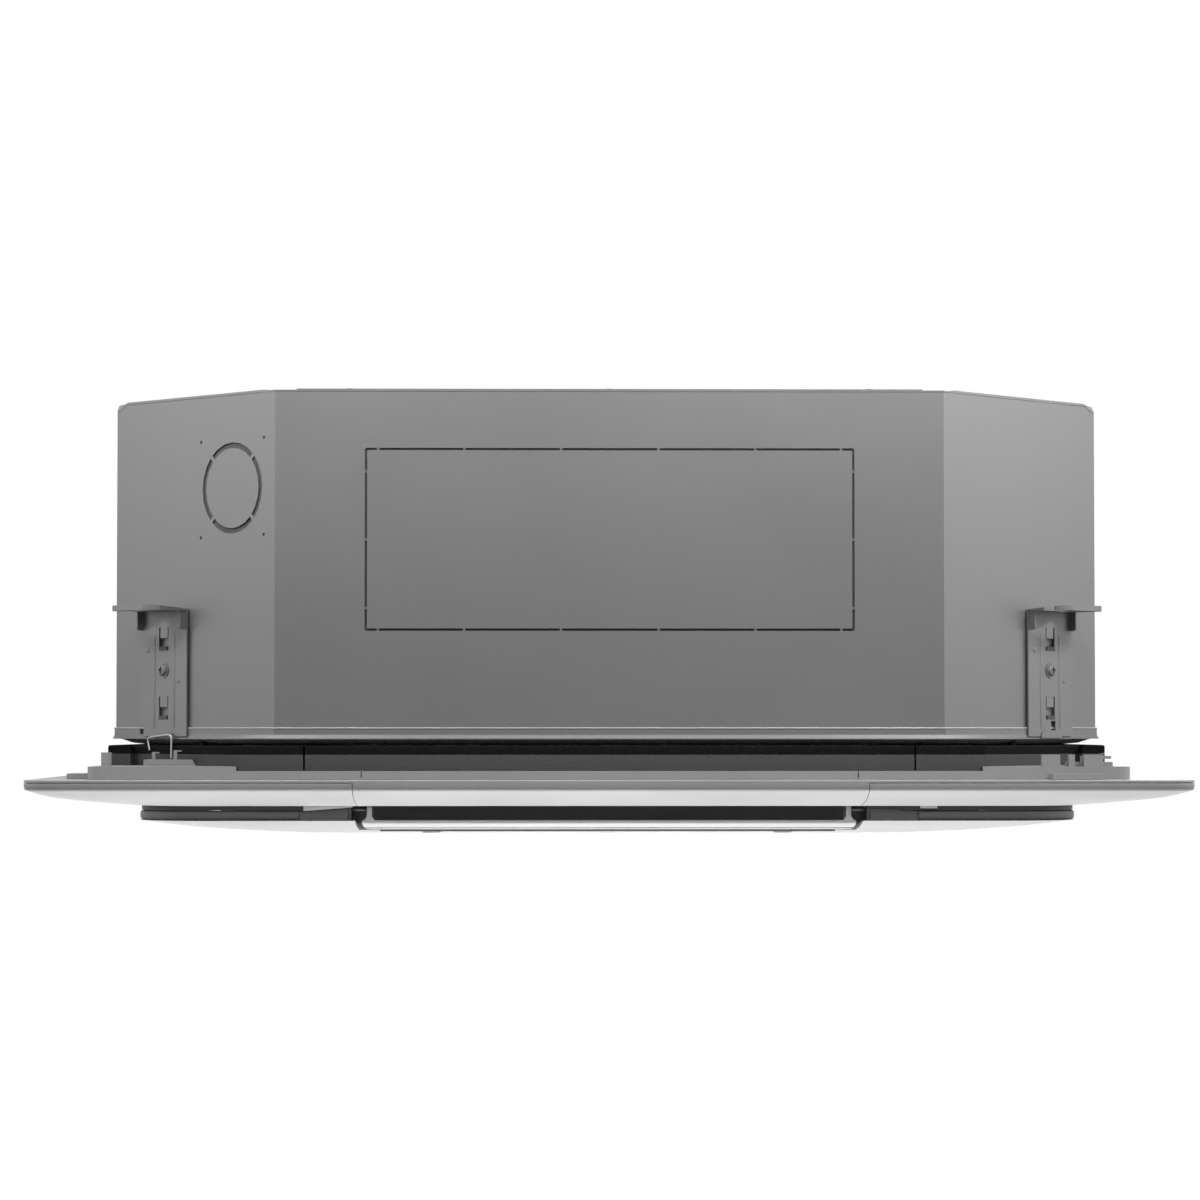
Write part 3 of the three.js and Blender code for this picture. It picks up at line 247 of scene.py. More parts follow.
def build(name, shape):
    """An object of a shape, its faces looking outwards."""
    points, faces = shape
    mesh = bpy.data.meshes.new(name)
    mesh.from_pydata([Vector(p) * MM for p in points], [], faces)
    work = bmesh.new()
    work.from_mesh(mesh)
    bmesh.ops.remove_doubles(work, verts=work.verts, dist=1e-6)
    bmesh.ops.recalc_face_normals(work, faces=work.faces)
    work.to_mesh(mesh)
    work.free()
    obj = bpy.data.objects.new(name, mesh)
    bpy.context.scene.collection.objects.link(obj)
    return obj


def piece(name, shape, material, body="unit", replaces=(), bevel=0.0, sharp=32):
    """Makes one mesh of a shape, softens its edges and puts it on its body."""
    obj = build(name, shape)
    obj.data.materials.append(material)
    soften(obj, bevel, sharp)
    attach(obj, body)
    if replaces:
        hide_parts(*replaces)
    return obj


def soften(obj, bevel, sharp=32):
    """Smooth shading with sharp creases, and rounded edges."""
    obj.data.shade_smooth()
    obj.data.set_sharp_from_angle(angle=math.radians(sharp))
    if bevel:
        modifier = obj.modifiers.new("edges", "BEVEL")
        modifier.width = bevel * MM
        modifier.segments = 2
        modifier.limit_method = "ANGLE"
        modifier.angle_limit = math.radians(sharp)
        modifier.harden_normals = True


def carved(shape, *cutters, operation="DIFFERENCE"):
    """A shape with other closed shapes cut out of it."""
    obj = build("carved", shape)
    for cutter_shape in cutters:
        cutter = build("cutter", cutter_shape)
        modifier = obj.modifiers.new("cut", "BOOLEAN")
        modifier.object = cutter
        modifier.operation = operation
        modifier.solver = "EXACT"
        result = bpy.data.meshes.new_from_object(obj.evaluated_get(bpy.context.evaluated_depsgraph_get()))
        obj.modifiers.remove(modifier)
        obj.data = result
        bpy.data.objects.remove(cutter)
    points = [tuple(v.co / MM) for v in obj.data.vertices]
    faces = [tuple(f.vertices) for f in obj.data.polygons]
    bpy.data.objects.remove(obj)
    return points, faces


# --------------------------------------------------------------------------------------------------
# Materials: procedural, in the metres of the part's own frame
# --------------------------------------------------------------------------------------------------


class Finish:
    """A principled material with helpers for the nodes that vary it."""

    def __init__(self, name, colour, roughness, metallic=0.0, specular=0.5):
        self.material = bpy.data.materials.new(name)
        self.material.use_nodes = True
        self.nodes = self.material.node_tree.nodes
        self.links = self.material.node_tree.links
        self.shader = self.nodes["Principled BSDF"]
        self.shader.inputs["Base Color"].default_value = (*colour, 1)
        self.shader.inputs["Roughness"].default_value = roughness
        self.shader.inputs["Metallic"].default_value = metallic
        self.shader.inputs["Specular IOR Level"].default_value = specular
        self.place = self.nodes.new("ShaderNodeTexCoord").outputs["Object"]

    def stretched(self, x=1.0, y=1.0, z=1.0):
        mapping = self.nodes.new("ShaderNodeMapping")
        mapping.inputs["Scale"].default_value = (x, y, z)
        self.links.new(self.place, mapping.inputs["Vector"])
        return mapping.outputs["Vector"]

    def noise(self, scale, detail=2.0, vector=None, roughness=0.5):
        node = self.nodes.new("ShaderNodeTexNoise")
        node.inputs["Scale"].default_value = scale
        node.inputs["Detail"].default_value = detail
        node.inputs["Roughness"].default_value = roughness
        self.links.new(vector or self.place, node.inputs["Vector"])
        return node.outputs["Fac"]

    def cells(self, scale):
        node = self.nodes.new("ShaderNodeTexVoronoi")
        node.inputs["Scale"].default_value = scale
        self.links.new(self.place, node.inputs["Vector"])
        return node.outputs["Distance"]

    def ramp(self, value, *stops):
        node = self.nodes.new("ShaderNodeValToRGB")
        while len(node.color_ramp.elements) < len(stops):
            node.color_ramp.elements.new(0.5)
        for element, (position, colour) in zip(node.color_ramp.elements, stops):
            element.position = position
            element.color = (*colour, 1)
        self.links.new(value, node.inputs["Fac"])
        return node.outputs["Color"]

    def spread(self, value, low, high, start=0.0, end=1.0):
        node = self.nodes.new("ShaderNodeMapRange")
        node.inputs["From Min"].default_value = start
        node.inputs["From Max"].default_value = end
        node.inputs["To Min"].default_value = low
        node.inputs["To Max"].default_value = high
        self.links.new(value, node.inputs["Value"])
        return node.outputs["Result"]

    def sum(self, first, second, share=0.5):
        node = self.nodes.new("ShaderNodeMix")
        node.inputs["Factor"].default_value = share
        self.links.new(first, node.inputs["A"])
        self.links.new(second, node.inputs["B"])
        return node.outputs["Result"]

    def colour(self, output):
        self.links.new(output, self.shader.inputs["Base Color"])

    def roughness(self, output):
        self.links.new(output, self.shader.inputs["Roughness"])

    def bump(self, height, depth_mm, strength=1.0):
        node = self.nodes.new("ShaderNodeBump")
        node.inputs["Strength"].default_value = strength
        node.inputs["Distance"].default_value = depth_mm * MM
        self.links.new(height, node.inputs["Height"])
        self.links.new(node.outputs["Normal"], self.shader.inputs["Normal"])


def grey(value):
    return (value, value, value)


def sheet_steel(name, tone, metallic, uneven=0.05):
    """Galvanised sheet: an even dull grey with faint clouds, soft spangle and barely uneven gloss."""
    finish = Finish(name, grey(tone), 0.46, metallic)
    clouds = finish.noise(6, 4)
    spangle = finish.cells(130)
    mixed = finish.sum(clouds, spangle, 0.12)
    finish.colour(finish.ramp(mixed, (0.3, grey(tone * (1 - uneven))), (0.7, grey(tone * (1 + uneven)))))
    finish.roughness(finish.spread(mixed, 0.42, 0.5, 0.3, 0.7))
    finish.bump(finish.noise(900, 2), 0.015, 0.3)
    return finish.material


def moulded(name, colour, roughness=0.42, grain=1400.0, depth=0.02, varied=0.03):
    """Injection-moulded plastic: fine spark-eroded grain and a barely uneven tone."""
    finish = Finish(name, colour, roughness)
    drift = finish.noise(7, 3)
    darker = tuple(c * (1 - varied) for c in colour)
    lighter = tuple(min(c * (1 + varied), 1) for c in colour)
    finish.colour(finish.ramp(drift, (0.35, darker), (0.65, lighter)))
    finish.roughness(finish.spread(drift, roughness - 0.04, roughness + 0.05, 0.3, 0.7))
    finish.bump(finish.noise(grain, 2), depth, 0.5)
    return finish.material


def open_foam(name, base, fleck, pores, cover):
    """Open-cell foam: pores darkened with painted shade, paler cell walls between them."""
    finish = Finish(name, grey(base), 0.95, specular=0.15)
    cell = finish.cells(pores)
    fine = finish.noise(pores * 1.7, 3, roughness=0.7)
    mixed = finish.sum(cell, fine, 0.55)
    # The darkest stop is painted shade in the pores.
    stops = ((cover, grey(base * 0.45)), (cover + 0.13, grey(base)), (0.78, grey(fleck)))
    finish.colour(finish.ramp(mixed, *stops))
    finish.bump(mixed, 0.9, 0.8)
    return finish.material


def beads(name):
    """Expanded polystyrene: welded beads, darker in the grooves between them with painted shade."""
    finish = Finish(name, grey(0.72), 0.8, specular=0.25)
    bead = finish.cells(260)
    # The darkest stop is painted shade in the grooves between beads.
    finish.colour(finish.ramp(bead, (0.0, grey(0.76)), (0.55, grey(0.72)), (0.9, grey(0.56))))
    finish.bump(bead, -0.35, 0.7)
    return finish.material


def plated(name, colour, roughness):
    """Bare or plated metal with fine scratches."""
    finish = Finish(name, colour, roughness, metallic=1.0)
    scratch = finish.noise(700, 3, finish.stretched(1, 1, 0.08))
    finish.roughness(finish.spread(scratch, roughness - 0.06, roughness + 0.14, 0.3, 0.7))
    finish.colour(finish.ramp(finish.noise(60, 2), (0.3, tuple(c * 0.86 for c in colour)), (0.7, colour)))
    finish.bump(scratch, 0.02, 0.4)
    return finish.material


def fins():
    """The coil's face: upright fins pressed close together, crossed by rows of tubes; the gaps between fins are
    painted shade.
    """
    finish = Finish("aluminium_fins", (0.6, 0.64, 0.67), 0.38, metallic=0.9)
    wave = finish.nodes.new("ShaderNodeTexWave")
    wave.bands_direction = "DIAGONAL"
    wave.inputs["Scale"].default_value = 170
    finish.links.new(finish.stretched(1, 1, 0.0), wave.inputs["Vector"])
    rows = finish.nodes.new("ShaderNodeTexWave")
    rows.bands_direction = "Z"
    rows.inputs["Scale"].default_value = 7.5
    finish.links.new(finish.place, rows.inputs["Vector"])
    fins_and_shaded_gaps = finish.sum(wave.outputs["Fac"], rows.outputs["Fac"], 0.25)
    # The dark stop is painted shade in the gaps between fins.
    finish.colour(finish.ramp(fins_and_shaded_gaps, (0.2, (0.16, 0.17, 0.18)), (0.75, (0.62, 0.66, 0.69))))
    finish.bump(wave.outputs["Fac"], 0.5, 0.8)
    return finish.material


def filter_mesh():
    """Woven plastic net, drawn as two crossed sets of threads over near-black holes that are painted shade of
    the inside behind the net.
    """
    finish = Finish("filter_mesh", grey(0.05), 0.6)
    threads = []
    for direction in ("X", "Y"):
        wave = finish.nodes.new("ShaderNodeTexWave")
        wave.bands_direction = direction
        wave.inputs["Scale"].default_value = 210
        finish.links.new(finish.place, wave.inputs["Vector"])
        threads.append(wave.outputs["Fac"])
    highest = finish.nodes.new("ShaderNodeMath")
    highest.operation = "MAXIMUM"
    finish.links.new(threads[0], highest.inputs[0])
    finish.links.new(threads[1], highest.inputs[1])
    # The near-black stop is the holes, painted shade.
    finish.colour(finish.ramp(highest.outputs[0], (0.55, grey(0.012)), (0.85, grey(0.1))))
    finish.bump(highest.outputs[0], 0.3, 0.8)
    return finish.material


STEEL = sheet_steel("galvanised_steel", 0.175, metallic=0.22)
BRACKET_STEEL = sheet_steel("bracket_steel", 0.18, metallic=0.28)
# Far paler than the sheet: a painted highlight along the base rim's upper fold.
RIM_HIGHLIGHT_STEEL = sheet_steel("rim_fold_painted_highlight_steel", 0.55, metallic=0.3)
LINING_FOAM = open_foam("lining_foam", 0.1, 0.14, 700, 0.22)
SEAL_TOP_FOAM = open_foam("seal_top_foam", 0.003, 0.012, 620, 0.3)
SEAL_FOAM = open_foam("seal_lower_foam", 0.075, 0.09, 900, 0.16)
EPS = beads("expanded_polystyrene")
FINS = fins()
COPPER = plated("copper", (0.55, 0.27, 0.16), 0.32)
ZINC = plated("zinc_plated_steel", (0.4, 0.405, 0.41), 0.38)
BLACKENED = plated("blackened_steel", grey(0.02), 0.5)
WHITE = moulded("white_plastic", (0.78, 0.78, 0.77), 0.4)
# The panel base's plastic, set darker so that it also carries painted shade on its upright face.
BASE_PLASTIC_AND_SHADE = moulded("panel_base_plastic_and_painted_shade", grey(0.3), 0.5, grain=900, depth=0.04)
# A grey copy of the white moulding's plastic: painted shade on the frame's upright band and upper side.
BAND_PAINTED_SHADE = moulded("panel_band_painted_shade", grey(0.42), 0.5, grain=900, depth=0.04)
GREY_PLASTIC = moulded("grey_plastic", (0.33, 0.34, 0.35), 0.5)
GUIDE_PLASTIC = moulded("guide_plastic", grey(0.155), 0.45)
# A darker copy of the guide's plastic: painted shade on the recessed upper wall and the cheeks.
GUIDE_SHADED = moulded("guide_plastic_painted_shade", grey(0.06), 0.5)
DARK_PLASTIC = moulded("dark_plastic", (0.035, 0.037, 0.04), 0.48, grain=700, depth=0.05)
FILTER = filter_mesh()


# --------------------------------------------------------------------------------------------------
# CAD nodes that stay: finish and rounded edges
# --------------------------------------------------------------------------------------------------


def dress(node, material, bevel=0.0):
    """Gives a node its finish; modifiers leave its own mesh alone."""
    obj = NODES[node]
    obj.data.materials.clear()
    obj.data.materials.append(material)
    soften(obj, bevel)


for node in ("top_plate", "base_rim", "pipe_plate", "motor_bracket", "control_box", "control_box_lid"):
    dress(node, STEEL, 0.4)
for side in SIDES:
    dress(f"casing_{side}_wall", STEEL, 0.3)
for corner in CORNERS:
    dress(f"hanging_bracket_{corner}", BRACKET_STEEL, 0.35)
    dress(f"panel_bolt_{corner}", BLACKENED, 0.3)
for node in ("wall_lining", "roof_lining"):
    dress(node, LINING_FOAM, 0.6)
dress("drain_pan", EPS, 1.2)
dress("evaporator_coil", FINS)
for node in ("gas_pipe", "liquid_pipe"):
    dress(node, COPPER, 0.3)
for node in ("fan_motor", "drain_pump"):
    dress(node, DARK_PLASTIC, 0.8)
for node in ("fan_impeller", "float"):
    dress(node, DARK_PLASTIC)
for node in ("bell_mouth", "pump_impeller", "float_stem"):
    dress(node, WHITE)
for node in ("motor_shaft", "fan_hub_nut"):
    dress(node, ZINC, 0.3)
dress("drain_outlet", GREY_PLASTIC, 0.5)
dress("panel_base", BASE_PLASTIC_AND_SHADE, 0.35)
for side in SIDES:
    dress(f"flap_motor_{side}", GREY_PLASTIC, 0.6)
for side in ("left", "right"):
    dress(f"grille_latch_{side}", WHITE, 0.4)


# --------------------------------------------------------------------------------------------------
# Fasteners
# --------------------------------------------------------------------------------------------------


def pan_screw(radius, height):
    """Pan head with a cross recess, its axis along Z and its seat at z = 0."""
    side = [(0, 0), (radius, 0), (radius, height * 0.35)]
    dome = [(radius * 0.86, height * 0.75), (radius * 0.5, height), (0, height)]
    head = lathe([*side, *dome], 24)
    arm, width = radius * 0.55, radius * 0.17
    cross = [
        block((-arm, arm), (-width, width), (height * 0.35, height + 1)),
        block((-width, width), (-arm, arm), (height * 0.35, height + 1)),
    ]
    return carved(head, *cross)


def hex_screw(across=3.6, height=3.2, flange=5.4):
    """Hexagon head on a flange, with a dished top, its seat at z = 0."""
    washer = lathe([(0, 0), (flange, 0), (flange, 0.7), (across, 1.1), (0, 1.1)], 28)
    angles = [math.radians(60 * i) for i in range(6)]
    hexagon = [(across * math.cos(a), across * math.sin(a)) for a in angles]
    shrunk = [(0.86 * x, 0.86 * y) for x, y in hexagon]
    heights = ((hexagon, 1.0), (hexagon, height - 0.5), (shrunk, height))
    return merge(washer, loft([[(x, y, z) for x, y in outline] for outline, z in heights]))


SMALL_SCREW = pan_screw(2.6, 1.6)
HEX_SCREW = hex_screw()
WASHER = lathe([(0, 0), (6.6, 0), (6.6, 0.9), (0, 0.9)], 32)
WASHER_SCREW = merge(WASHER, shifted(pan_screw(5, 2.6), z=0.9))


def facing(shape, x, y, z, direction):
    """A fastener moved to a point, with its axis turned to a direction."""
    turn = Vector((0, 0, 1)).rotation_difference(Vector(direction)).to_matrix().to_4x4()
    return moved(shape, Matrix.Translation((x, y, z)) @ turn)


# --------------------------------------------------------------------------------------------------
# Casing: fasteners, bracket pressings, grommets
# --------------------------------------------------------------------------------------------------


def roof_screws():
    places = [(x, y) for x in (-215, 0, 215) for y in (-396, 396)]
    places += [(x, y) for x in (-396, 396) for y in (-200, 0, 200)]
    places += [(x * 330, y * 330) for x in (-1, 1) for y in (-1, 1)]
    screws = [facing(HEX_SCREW, x, y, ROOF_Z, (0, 0, 1)) for x, y in places]
    for turn in (0, 120, 240):
        screws.append(turned(shifted(HEX_SCREW, 92, 0, ROOF_Z), turn))
    return merge(*screws)


piece("roof_screws", roof_screws(), ZINC)


def pressed_rib(x, z0, z1, width=3.4, rise=0.55):
    """Long half-round rib pressed out of a bracket's plate."""
    rings = []
    for z, share in ((z0, 0.05), (z0 + 3, 1), (z1 - 3, 1), (z1, 0.05)):
        half = width / 2 * max(share, 0.4)
        arch = [(x + half * math.cos(a), BRACKET_FACE - rise * share * math.sin(a), z)
                for a in (math.pi * i / 8 for i in range(9))]
        rings.append([*arch, (x - half, BRACKET_FACE + 0.3, z), (x + half, BRACKET_FACE + 0.3, z)])
    return loft(rings)


def bracket_fittings():
    """Ribs, dimples and foot tab of a bracket, against its front face."""
    ribs = [pressed_rib(x, 41, 122) for x in (-12.6, 13.4)]
    dimple = lathe([(0, 0), (2.4, 0), (1.9, 0.5), (0, 0.8)], 16)
    dimples = [facing(dimple, x, BRACKET_FACE, z, (0, -1, 0)) for x, z in ((-21.5, 108), (19.5, 82))]
    tab = [(-13, 33.6), (15, 33.6), (13.6, 37.4), (9, 39.6), (0, 40.4), (-9, 39.6), (-13, 37.6)]
    return merge(*ribs, *dimples, upright(tab, BRACKET_FACE - 0.9, BRACKET_FACE + 0.2))


for corner in CORNERS:
    place = chamfer_matrix(corner)
    pressings = moved(bracket_fittings(), place)
    piece(f"bracket_pressings_{corner}", pressings, BRACKET_STEEL)
    screw = facing(WASHER_SCREW, 0, BRACKET_FACE, 91, (0, -1, 0))
    piece(f"bracket_screw_{corner}", moved(screw, place), BRACKET_STEEL)


def grommet(inner, outer, thickness):
    """Rubber ring in a sheet's hole, its axis along Z."""
    half = thickness / 2
    groove = outer - 1.6
    return lathe([
        (inner, -half), (outer - 0.6, -half), (outer, -half + 0.6), (outer, -1), (groove, -0.8),
        (groove, 0.8), (outer, 1), (outer, half - 0.6), (outer - 0.6, half), (inner, half),
    ], 32)


cable_ring = facing(grommet(7.5, 12.6, 5), -CASING_HALF + 0.6, 0, 90, (-1, 0, 0))
piece("cable_grommet", cable_ring, LINING_FOAM)

pipe_place = chamfer_matrix("rear_right", 54)
PIPES = ((-16, 168, 7.9), (16, 118, 4.8))  # across the chamfer, height and radius
pipe_rings = [
    facing(grommet(radius + 0.2, radius + 4.4, 5), x, -1, z, (0, -1, 0)) for x, z, radius in PIPES
]
piece("pipe_grommets", moved(merge(*pipe_rings), pipe_place), LINING_FOAM)
plate_screws = [facing(SMALL_SCREW, x, -1.7, z, (0, -1, 0)) for x in (-39, 39) for z in (96, 194)]
piece("pipe_plate_screws", moved(merge(*plate_screws), pipe_place), ZINC)

lid_screws = [facing(SMALL_SCREW, x, y, -10, (0, 0, -1)) for x in (234, 294) for y in (-176, 0, 176)]
piece("control_box_screws", merge(*lid_screws), ZINC)


# --------------------------------------------------------------------------------------------------
# Panel: outer frame and corner covers
# --------------------------------------------------------------------------------------------------

UNDERSIDE = smooth_curve(
    [(475, -4.6), (474.5, -6.8), (472.4, -8.8), (454, -14.6), (422, -19.2), (400, -21.6), (393.6, -22.3)], 5
)


def corner_path(distance, radius, seam, steps=14):
    """Line in plan round the front left corner at a distance from the middle, between the two seams."""
    centre = (-(distance - radius), -(distance - radius))
    return [(-seam, -distance), *arc(centre, radius, 270, 180, steps), (-distance, -seam)]


def round_corner(section, seam, radius_at, steps=14):
    """A closed section of (distance, height) points carried round the front left corner."""
    paths = [[(x, y, z) for x, y in corner_path(d, radius_at(d), seam, steps)] for d, z in section]
    return loft([list(ring) for ring in zip(*paths)])


def frame_radius(distance):
    share = (PANEL_HALF - distance) / (PANEL_HALF - RING_HALF)
    return PANEL_CORNER + (RING_CORNER - PANEL_CORNER) * share


def square_ring(outer, outer_corner, inner, inner_corner, z0, z1, steps=8):
    """Upright wall along a square with round corners."""
    pairs = zip(rounded_square(outer, outer_corner, steps), rounded_square(inner, inner_corner, steps))
    rings = [[(*out, z0), (*out, z1), (*back, z1), (*back, z0)] for out, back in pairs]
    return loft([*rings, rings[0]], capped=False)


inner_edge = [(393.1, -22), (393, -21.2)]
frame_section = [(474.6, 0), (475, -0.5), *map(tuple, UNDERSIDE), *inner_edge, (393, 0)]
plate_section = [(474.6, 0), (475, -0.5), (475, -1.9), (474.6, -2.1), (396, -2.1), (396, 0)]
cover_section = [
    (474.6, COVER_TOP), (475, COVER_TOP - 0.4), *map(tuple, UNDERSIDE), *inner_edge, (393, COVER_TOP),
]
seam_half = COVER_SEAM - 0.3

strip = bar_along_x([(-d, z) for d, z in frame_section], [-seam_half, seam_half])
plate = round_corner(plate_section, seam_half, frame_radius)
web_outline = [
    *corner_path(RING_HALF - 0.3, RING_CORNER, 212),
    (-315.5, -212), (-315.5, -315.5), (-212, -315.5),
]
web = prism(web_outline, -7, -1.2)
duct_wall = square_ring(316.5, 12, 312.5, 8, -38, 24)
repeated = [turned(shape, turn) for turn in SIDES.values() for shape in (strip, plate, web)]


def painted_shade_band(obj):
    """Faces above a height, the edge band and the side towards the ceiling, get a grey that is painted shade on
    the white moulding.
    """
    obj.data.materials.append(BAND_PAINTED_SHADE)
    for face in obj.data.polygons:
        if face.center.z > PAINTED_SHADE_BOTTOM * MM:
            face.material_index = 1


painted_shade_band(piece(
    "panel_frame_moulding", merge(*repeated, duct_wall), WHITE,
    replaces=["panel_frame"],
))

wedge = upright([(-252, -21.5), (-252, -26.4), (-212, -23.4), (-212, -21.5)], -395.5, -393.2)
catch = turned(block((257, 271), (-395.5, -393.2), (-24.2, -21.5)), -90)
cover = merge(round_corner(cover_section, COVER_SEAM + 0.3, frame_radius), wedge, catch)
for corner, turn in CORNERS.items():
    painted_shade_band(piece(
        f"corner_cover_moulding_{corner}", turned(cover, turn), WHITE,
        replaces=[f"corner_cover_{corner}"],
    ))


# --------------------------------------------------------------------------------------------------
# Foam seal: a firm lower layer and a soft upper one, on the base
# --------------------------------------------------------------------------------------------------


def chamfered_square(half, chamfer):
    flat = half - chamfer
    corners = [(-flat, -half), (flat, -half), (half, -flat), (half, flat)]
    return [*corners, *((-x, -y) for x, y in corners)]


def seal_layer(z0, z1, rounding):
    """One layer: a ring with cut corners, and strips proud of it along the sides."""
    def loop(half, chamfer, z):
        return [(x, y, z) for x, y in chamfered_square(half, chamfer)]

    sections = [
        loop(392, 112, z0), loop(410, 121, z0), loop(410, 121, z1 - rounding), loop(410 - rounding, 121, z1),
        loop(392, 112, z1),
    ]
    rings = [list(section) for section in zip(*sections)]
    ring = loft([*rings, rings[0]], capped=False)
    corner = block((-FAR, -304), (-FAR, -304), (0, 10.8))
    bolt = shifted(lathe([(0.01, 0), (3.6, 0), (3.6, 40), (0.01, 40)], 16), -340, -340)
    cuts = [turned(shape, turn) for turn in CORNERS.values() for shape in (corner, bolt)]
    shapes = [carved(ring, *cuts)]
    r = rounding
    edge = [
        (-404, z0), (-423, z0), (-423, z1 - r), (-423 + 0.3 * r, z1 - 0.3 * r), (-423 + r, z1), (-404, z1),
    ]
    for turn in SIDES.values():
        shapes.append(turned(bar_along_x(edge, [-249.2, 249.2]), turn))
        for side in (-1, 1):
            ends = bar_along_x(edge, sorted((side * 250.8, side * 308)))
            if z0 < 10.8:
                ends = carved(ends, block(sorted((side * 304, side * 320)), (-430, -400), (0, 10.8)))
            shapes.append(turned(ends, turn))
    return merge(*shapes)


SEAL_LAYERS = (
    ("lower", seal_layer(7.3, 20.3, 0.4), SEAL_FOAM, 0.3),
    ("upper", seal_layer(20.5, 27.6, 1.6), SEAL_TOP_FOAM, 0.5),
)
for layer, shape, material, bevel in SEAL_LAYERS:
    piece(f"foam_seal_{layer}", shape, material, replaces=["foam_seal"], bevel=bevel)


# --------------------------------------------------------------------------------------------------
# Folds along the upper and lower edge of the base rim; the upper one is in a pale steel that is a painted
# highlight
# --------------------------------------------------------------------------------------------------


def casing_loop(proud, z):
    """The casing's eight corners, moved out from its walls."""
    half = CASING_HALF + proud
    flat = CASING_FLAT + proud * math.tan(math.pi / 8)
    corners = [(-flat, -half), (flat, -half), (half, -flat), (half, flat)]
    return [(x, y, z) for x, y in (*corners, *((-x, -y) for x, y in corners))]


def rim_fold(section):
    """A closed section of (distance out from the casing, height) points all round the casing."""
    rings = [list(ring) for ring in zip(*(casing_loop(proud, z) for proud, z in section))]
    return loft([*rings, rings[0]], capped=False)


upper_fold = [
    (1.3, 41.5), (1.75, 41.6), (1.9, 42.0), (1.75, 42.35), (1.2, 42.5), (0.1, 42.45),
    (0.1, 42.1), (1.3, 42.1),
]
lower_fold = [(1.3, 36.6), (1.9, 34.6), (2.6, 33.6), (2.6, 32.9), (1.4, 32.9), (1.2, 33.3)]
piece("base_rim_upper_fold", rim_fold(upper_fold), RIM_HIGHLIGHT_STEEL, sharp=60)
piece("base_rim_lower_fold", rim_fold(lower_fold), STEEL, sharp=60)


# --------------------------------------------------------------------------------------------------
# Panel: corner guides, centre cover, flaps
# --------------------------------------------------------------------------------------------------


def guide_radius(distance):
    return RING_CORNER - (RING_HALF - distance)


def cheek():
    """End plate of a guide, with the bearing of the flap's pin."""
    plate = block((-GUIDE_FROM - 3, -GUIDE_FROM), (-RING_HALF + 1, -346), (-34.2, -7.3))
    return carved(plate, rod_along_x(3, (-9, 9), (-GUIDE_FROM, *FLAP_AXIS)))


upper_section = [(391.2, -7.3), (391.2, -25.9), (386.5, -25.9), (386.5, -7.3)]
lower_section = [
    (389.4, -26.2), (391.2, -26.7), (392.2, -27.7), (392.5, -29.2), (392.5, -31.4),
    (392.2, -32.8), (391.2, -33.8), (389.4, -34.2), (386.5, -34.2), (386.5, -26.2),
]
upper_band = round_corner(upper_section, GUIDE_FROM, guide_radius, 18)
lower_band = round_corner(lower_section, GUIDE_SEAM, guide_radius, 18)


def guide_end(inset, y0, y1):
    """End piece between the flap's cheek and the seam, deeper towards the cheek."""
    near, far = -GUIDE_FROM - 0.2 - inset, -GUIDE_SEAM + 0.6 + inset
    outline = [(near, -34.1 + inset), (near, -24.8 - inset), (far, -27 - inset), (far, -34.1 + inset)]
    return upright(outline, y0, y1)


end_piece = carved(guide_end(0, -392.4, -386.6), guide_end(0.8, -400, -391.7))
end_cheek = cheek()
mirror = Matrix.Rotation(math.radians(-90), 4, "Z") @ Matrix.Scale(-1, 4, (1, 0, 0))
# The recessed wall and the cheeks take the darker copy of the guide's plastic, as painted shade.
guide_shapes = {
    "band": (GUIDE_PLASTIC, merge(lower_band, end_piece, moved(end_piece, mirror))),
    "wall": (GUIDE_SHADED, merge(upper_band, end_cheek, moved(end_cheek, mirror))),
}
for corner, turn in CORNERS.items():
    for part, (material, shape) in guide_shapes.items():
        piece(
            f"corner_guide_{part}_{corner}", turned(shape, turn), material,
            replaces=[f"corner_guide_{corner}"],
        )


def bowl_section(inner, thickness):
    """Section of a shell that follows the centre cover's underside, from its rim to a distance."""
    rim = RING_HALF
    between = [(d, z) for d, z in BOWL if inner < d < rim]
    skin = [(rim, interpolate(BOWL, rim)), *between, (inner, interpolate(BOWL, inner))]
    back = [(d, min(z + thickness, -34.6)) for d, z in reversed(skin) if d < rim - thickness]
    return [*skin, *back, (rim - thickness, -34.6), (rim - 0.4, -34.5)]


def round_ring(section, corner_share, steps=16):
    """A closed section of (distance, height) points carried all round a square with round corners."""
    loops = [[(x, y, z) for x, y in rounded_square(d, d * corner_share, steps)] for d, z in section]
    rings = [list(ring) for ring in zip(*loops)]
    return loft([*rings, rings[0]], capped=False)


def hinge_boss(side):
    across = sorted((side * (GRILLE_HALF + 2), side * 311.5))
    boss = block(across, (GRILLE_HINGE[0] - 6, GRILLE_HINGE[0] + 6), (-44.2, -37))
    return carved(boss, rod_along_x(2, (-12, 12), (side * 308, *GRILLE_HINGE)))


flap_rooms = [
    turned(block((-FLAP_HALF - 6, FLAP_HALF + 6), (-FAR, -320), (-70, 0)), turn) for turn in SIDES.values()
]
grille_span = (-GRILLE_HALF - 2, GRILLE_HALF + 2)
grille_room = block(grille_span, grille_span, (-70, 0))
bowl_ring = round_ring(bowl_section(296, 3), RING_CORNER / RING_HALF)
pin_bore = rod_along_x(2, (-320, 320), (0, *GRILLE_HINGE))
bowl_frame = carved(bowl_ring, *flap_rooms, grille_room, pin_bore)
piece(
    "centre_cover_moulding", merge(bowl_frame, hinge_boss(-1), hinge_boss(1)), WHITE,
    replaces=["centre_cover"], bevel=0.4,
)


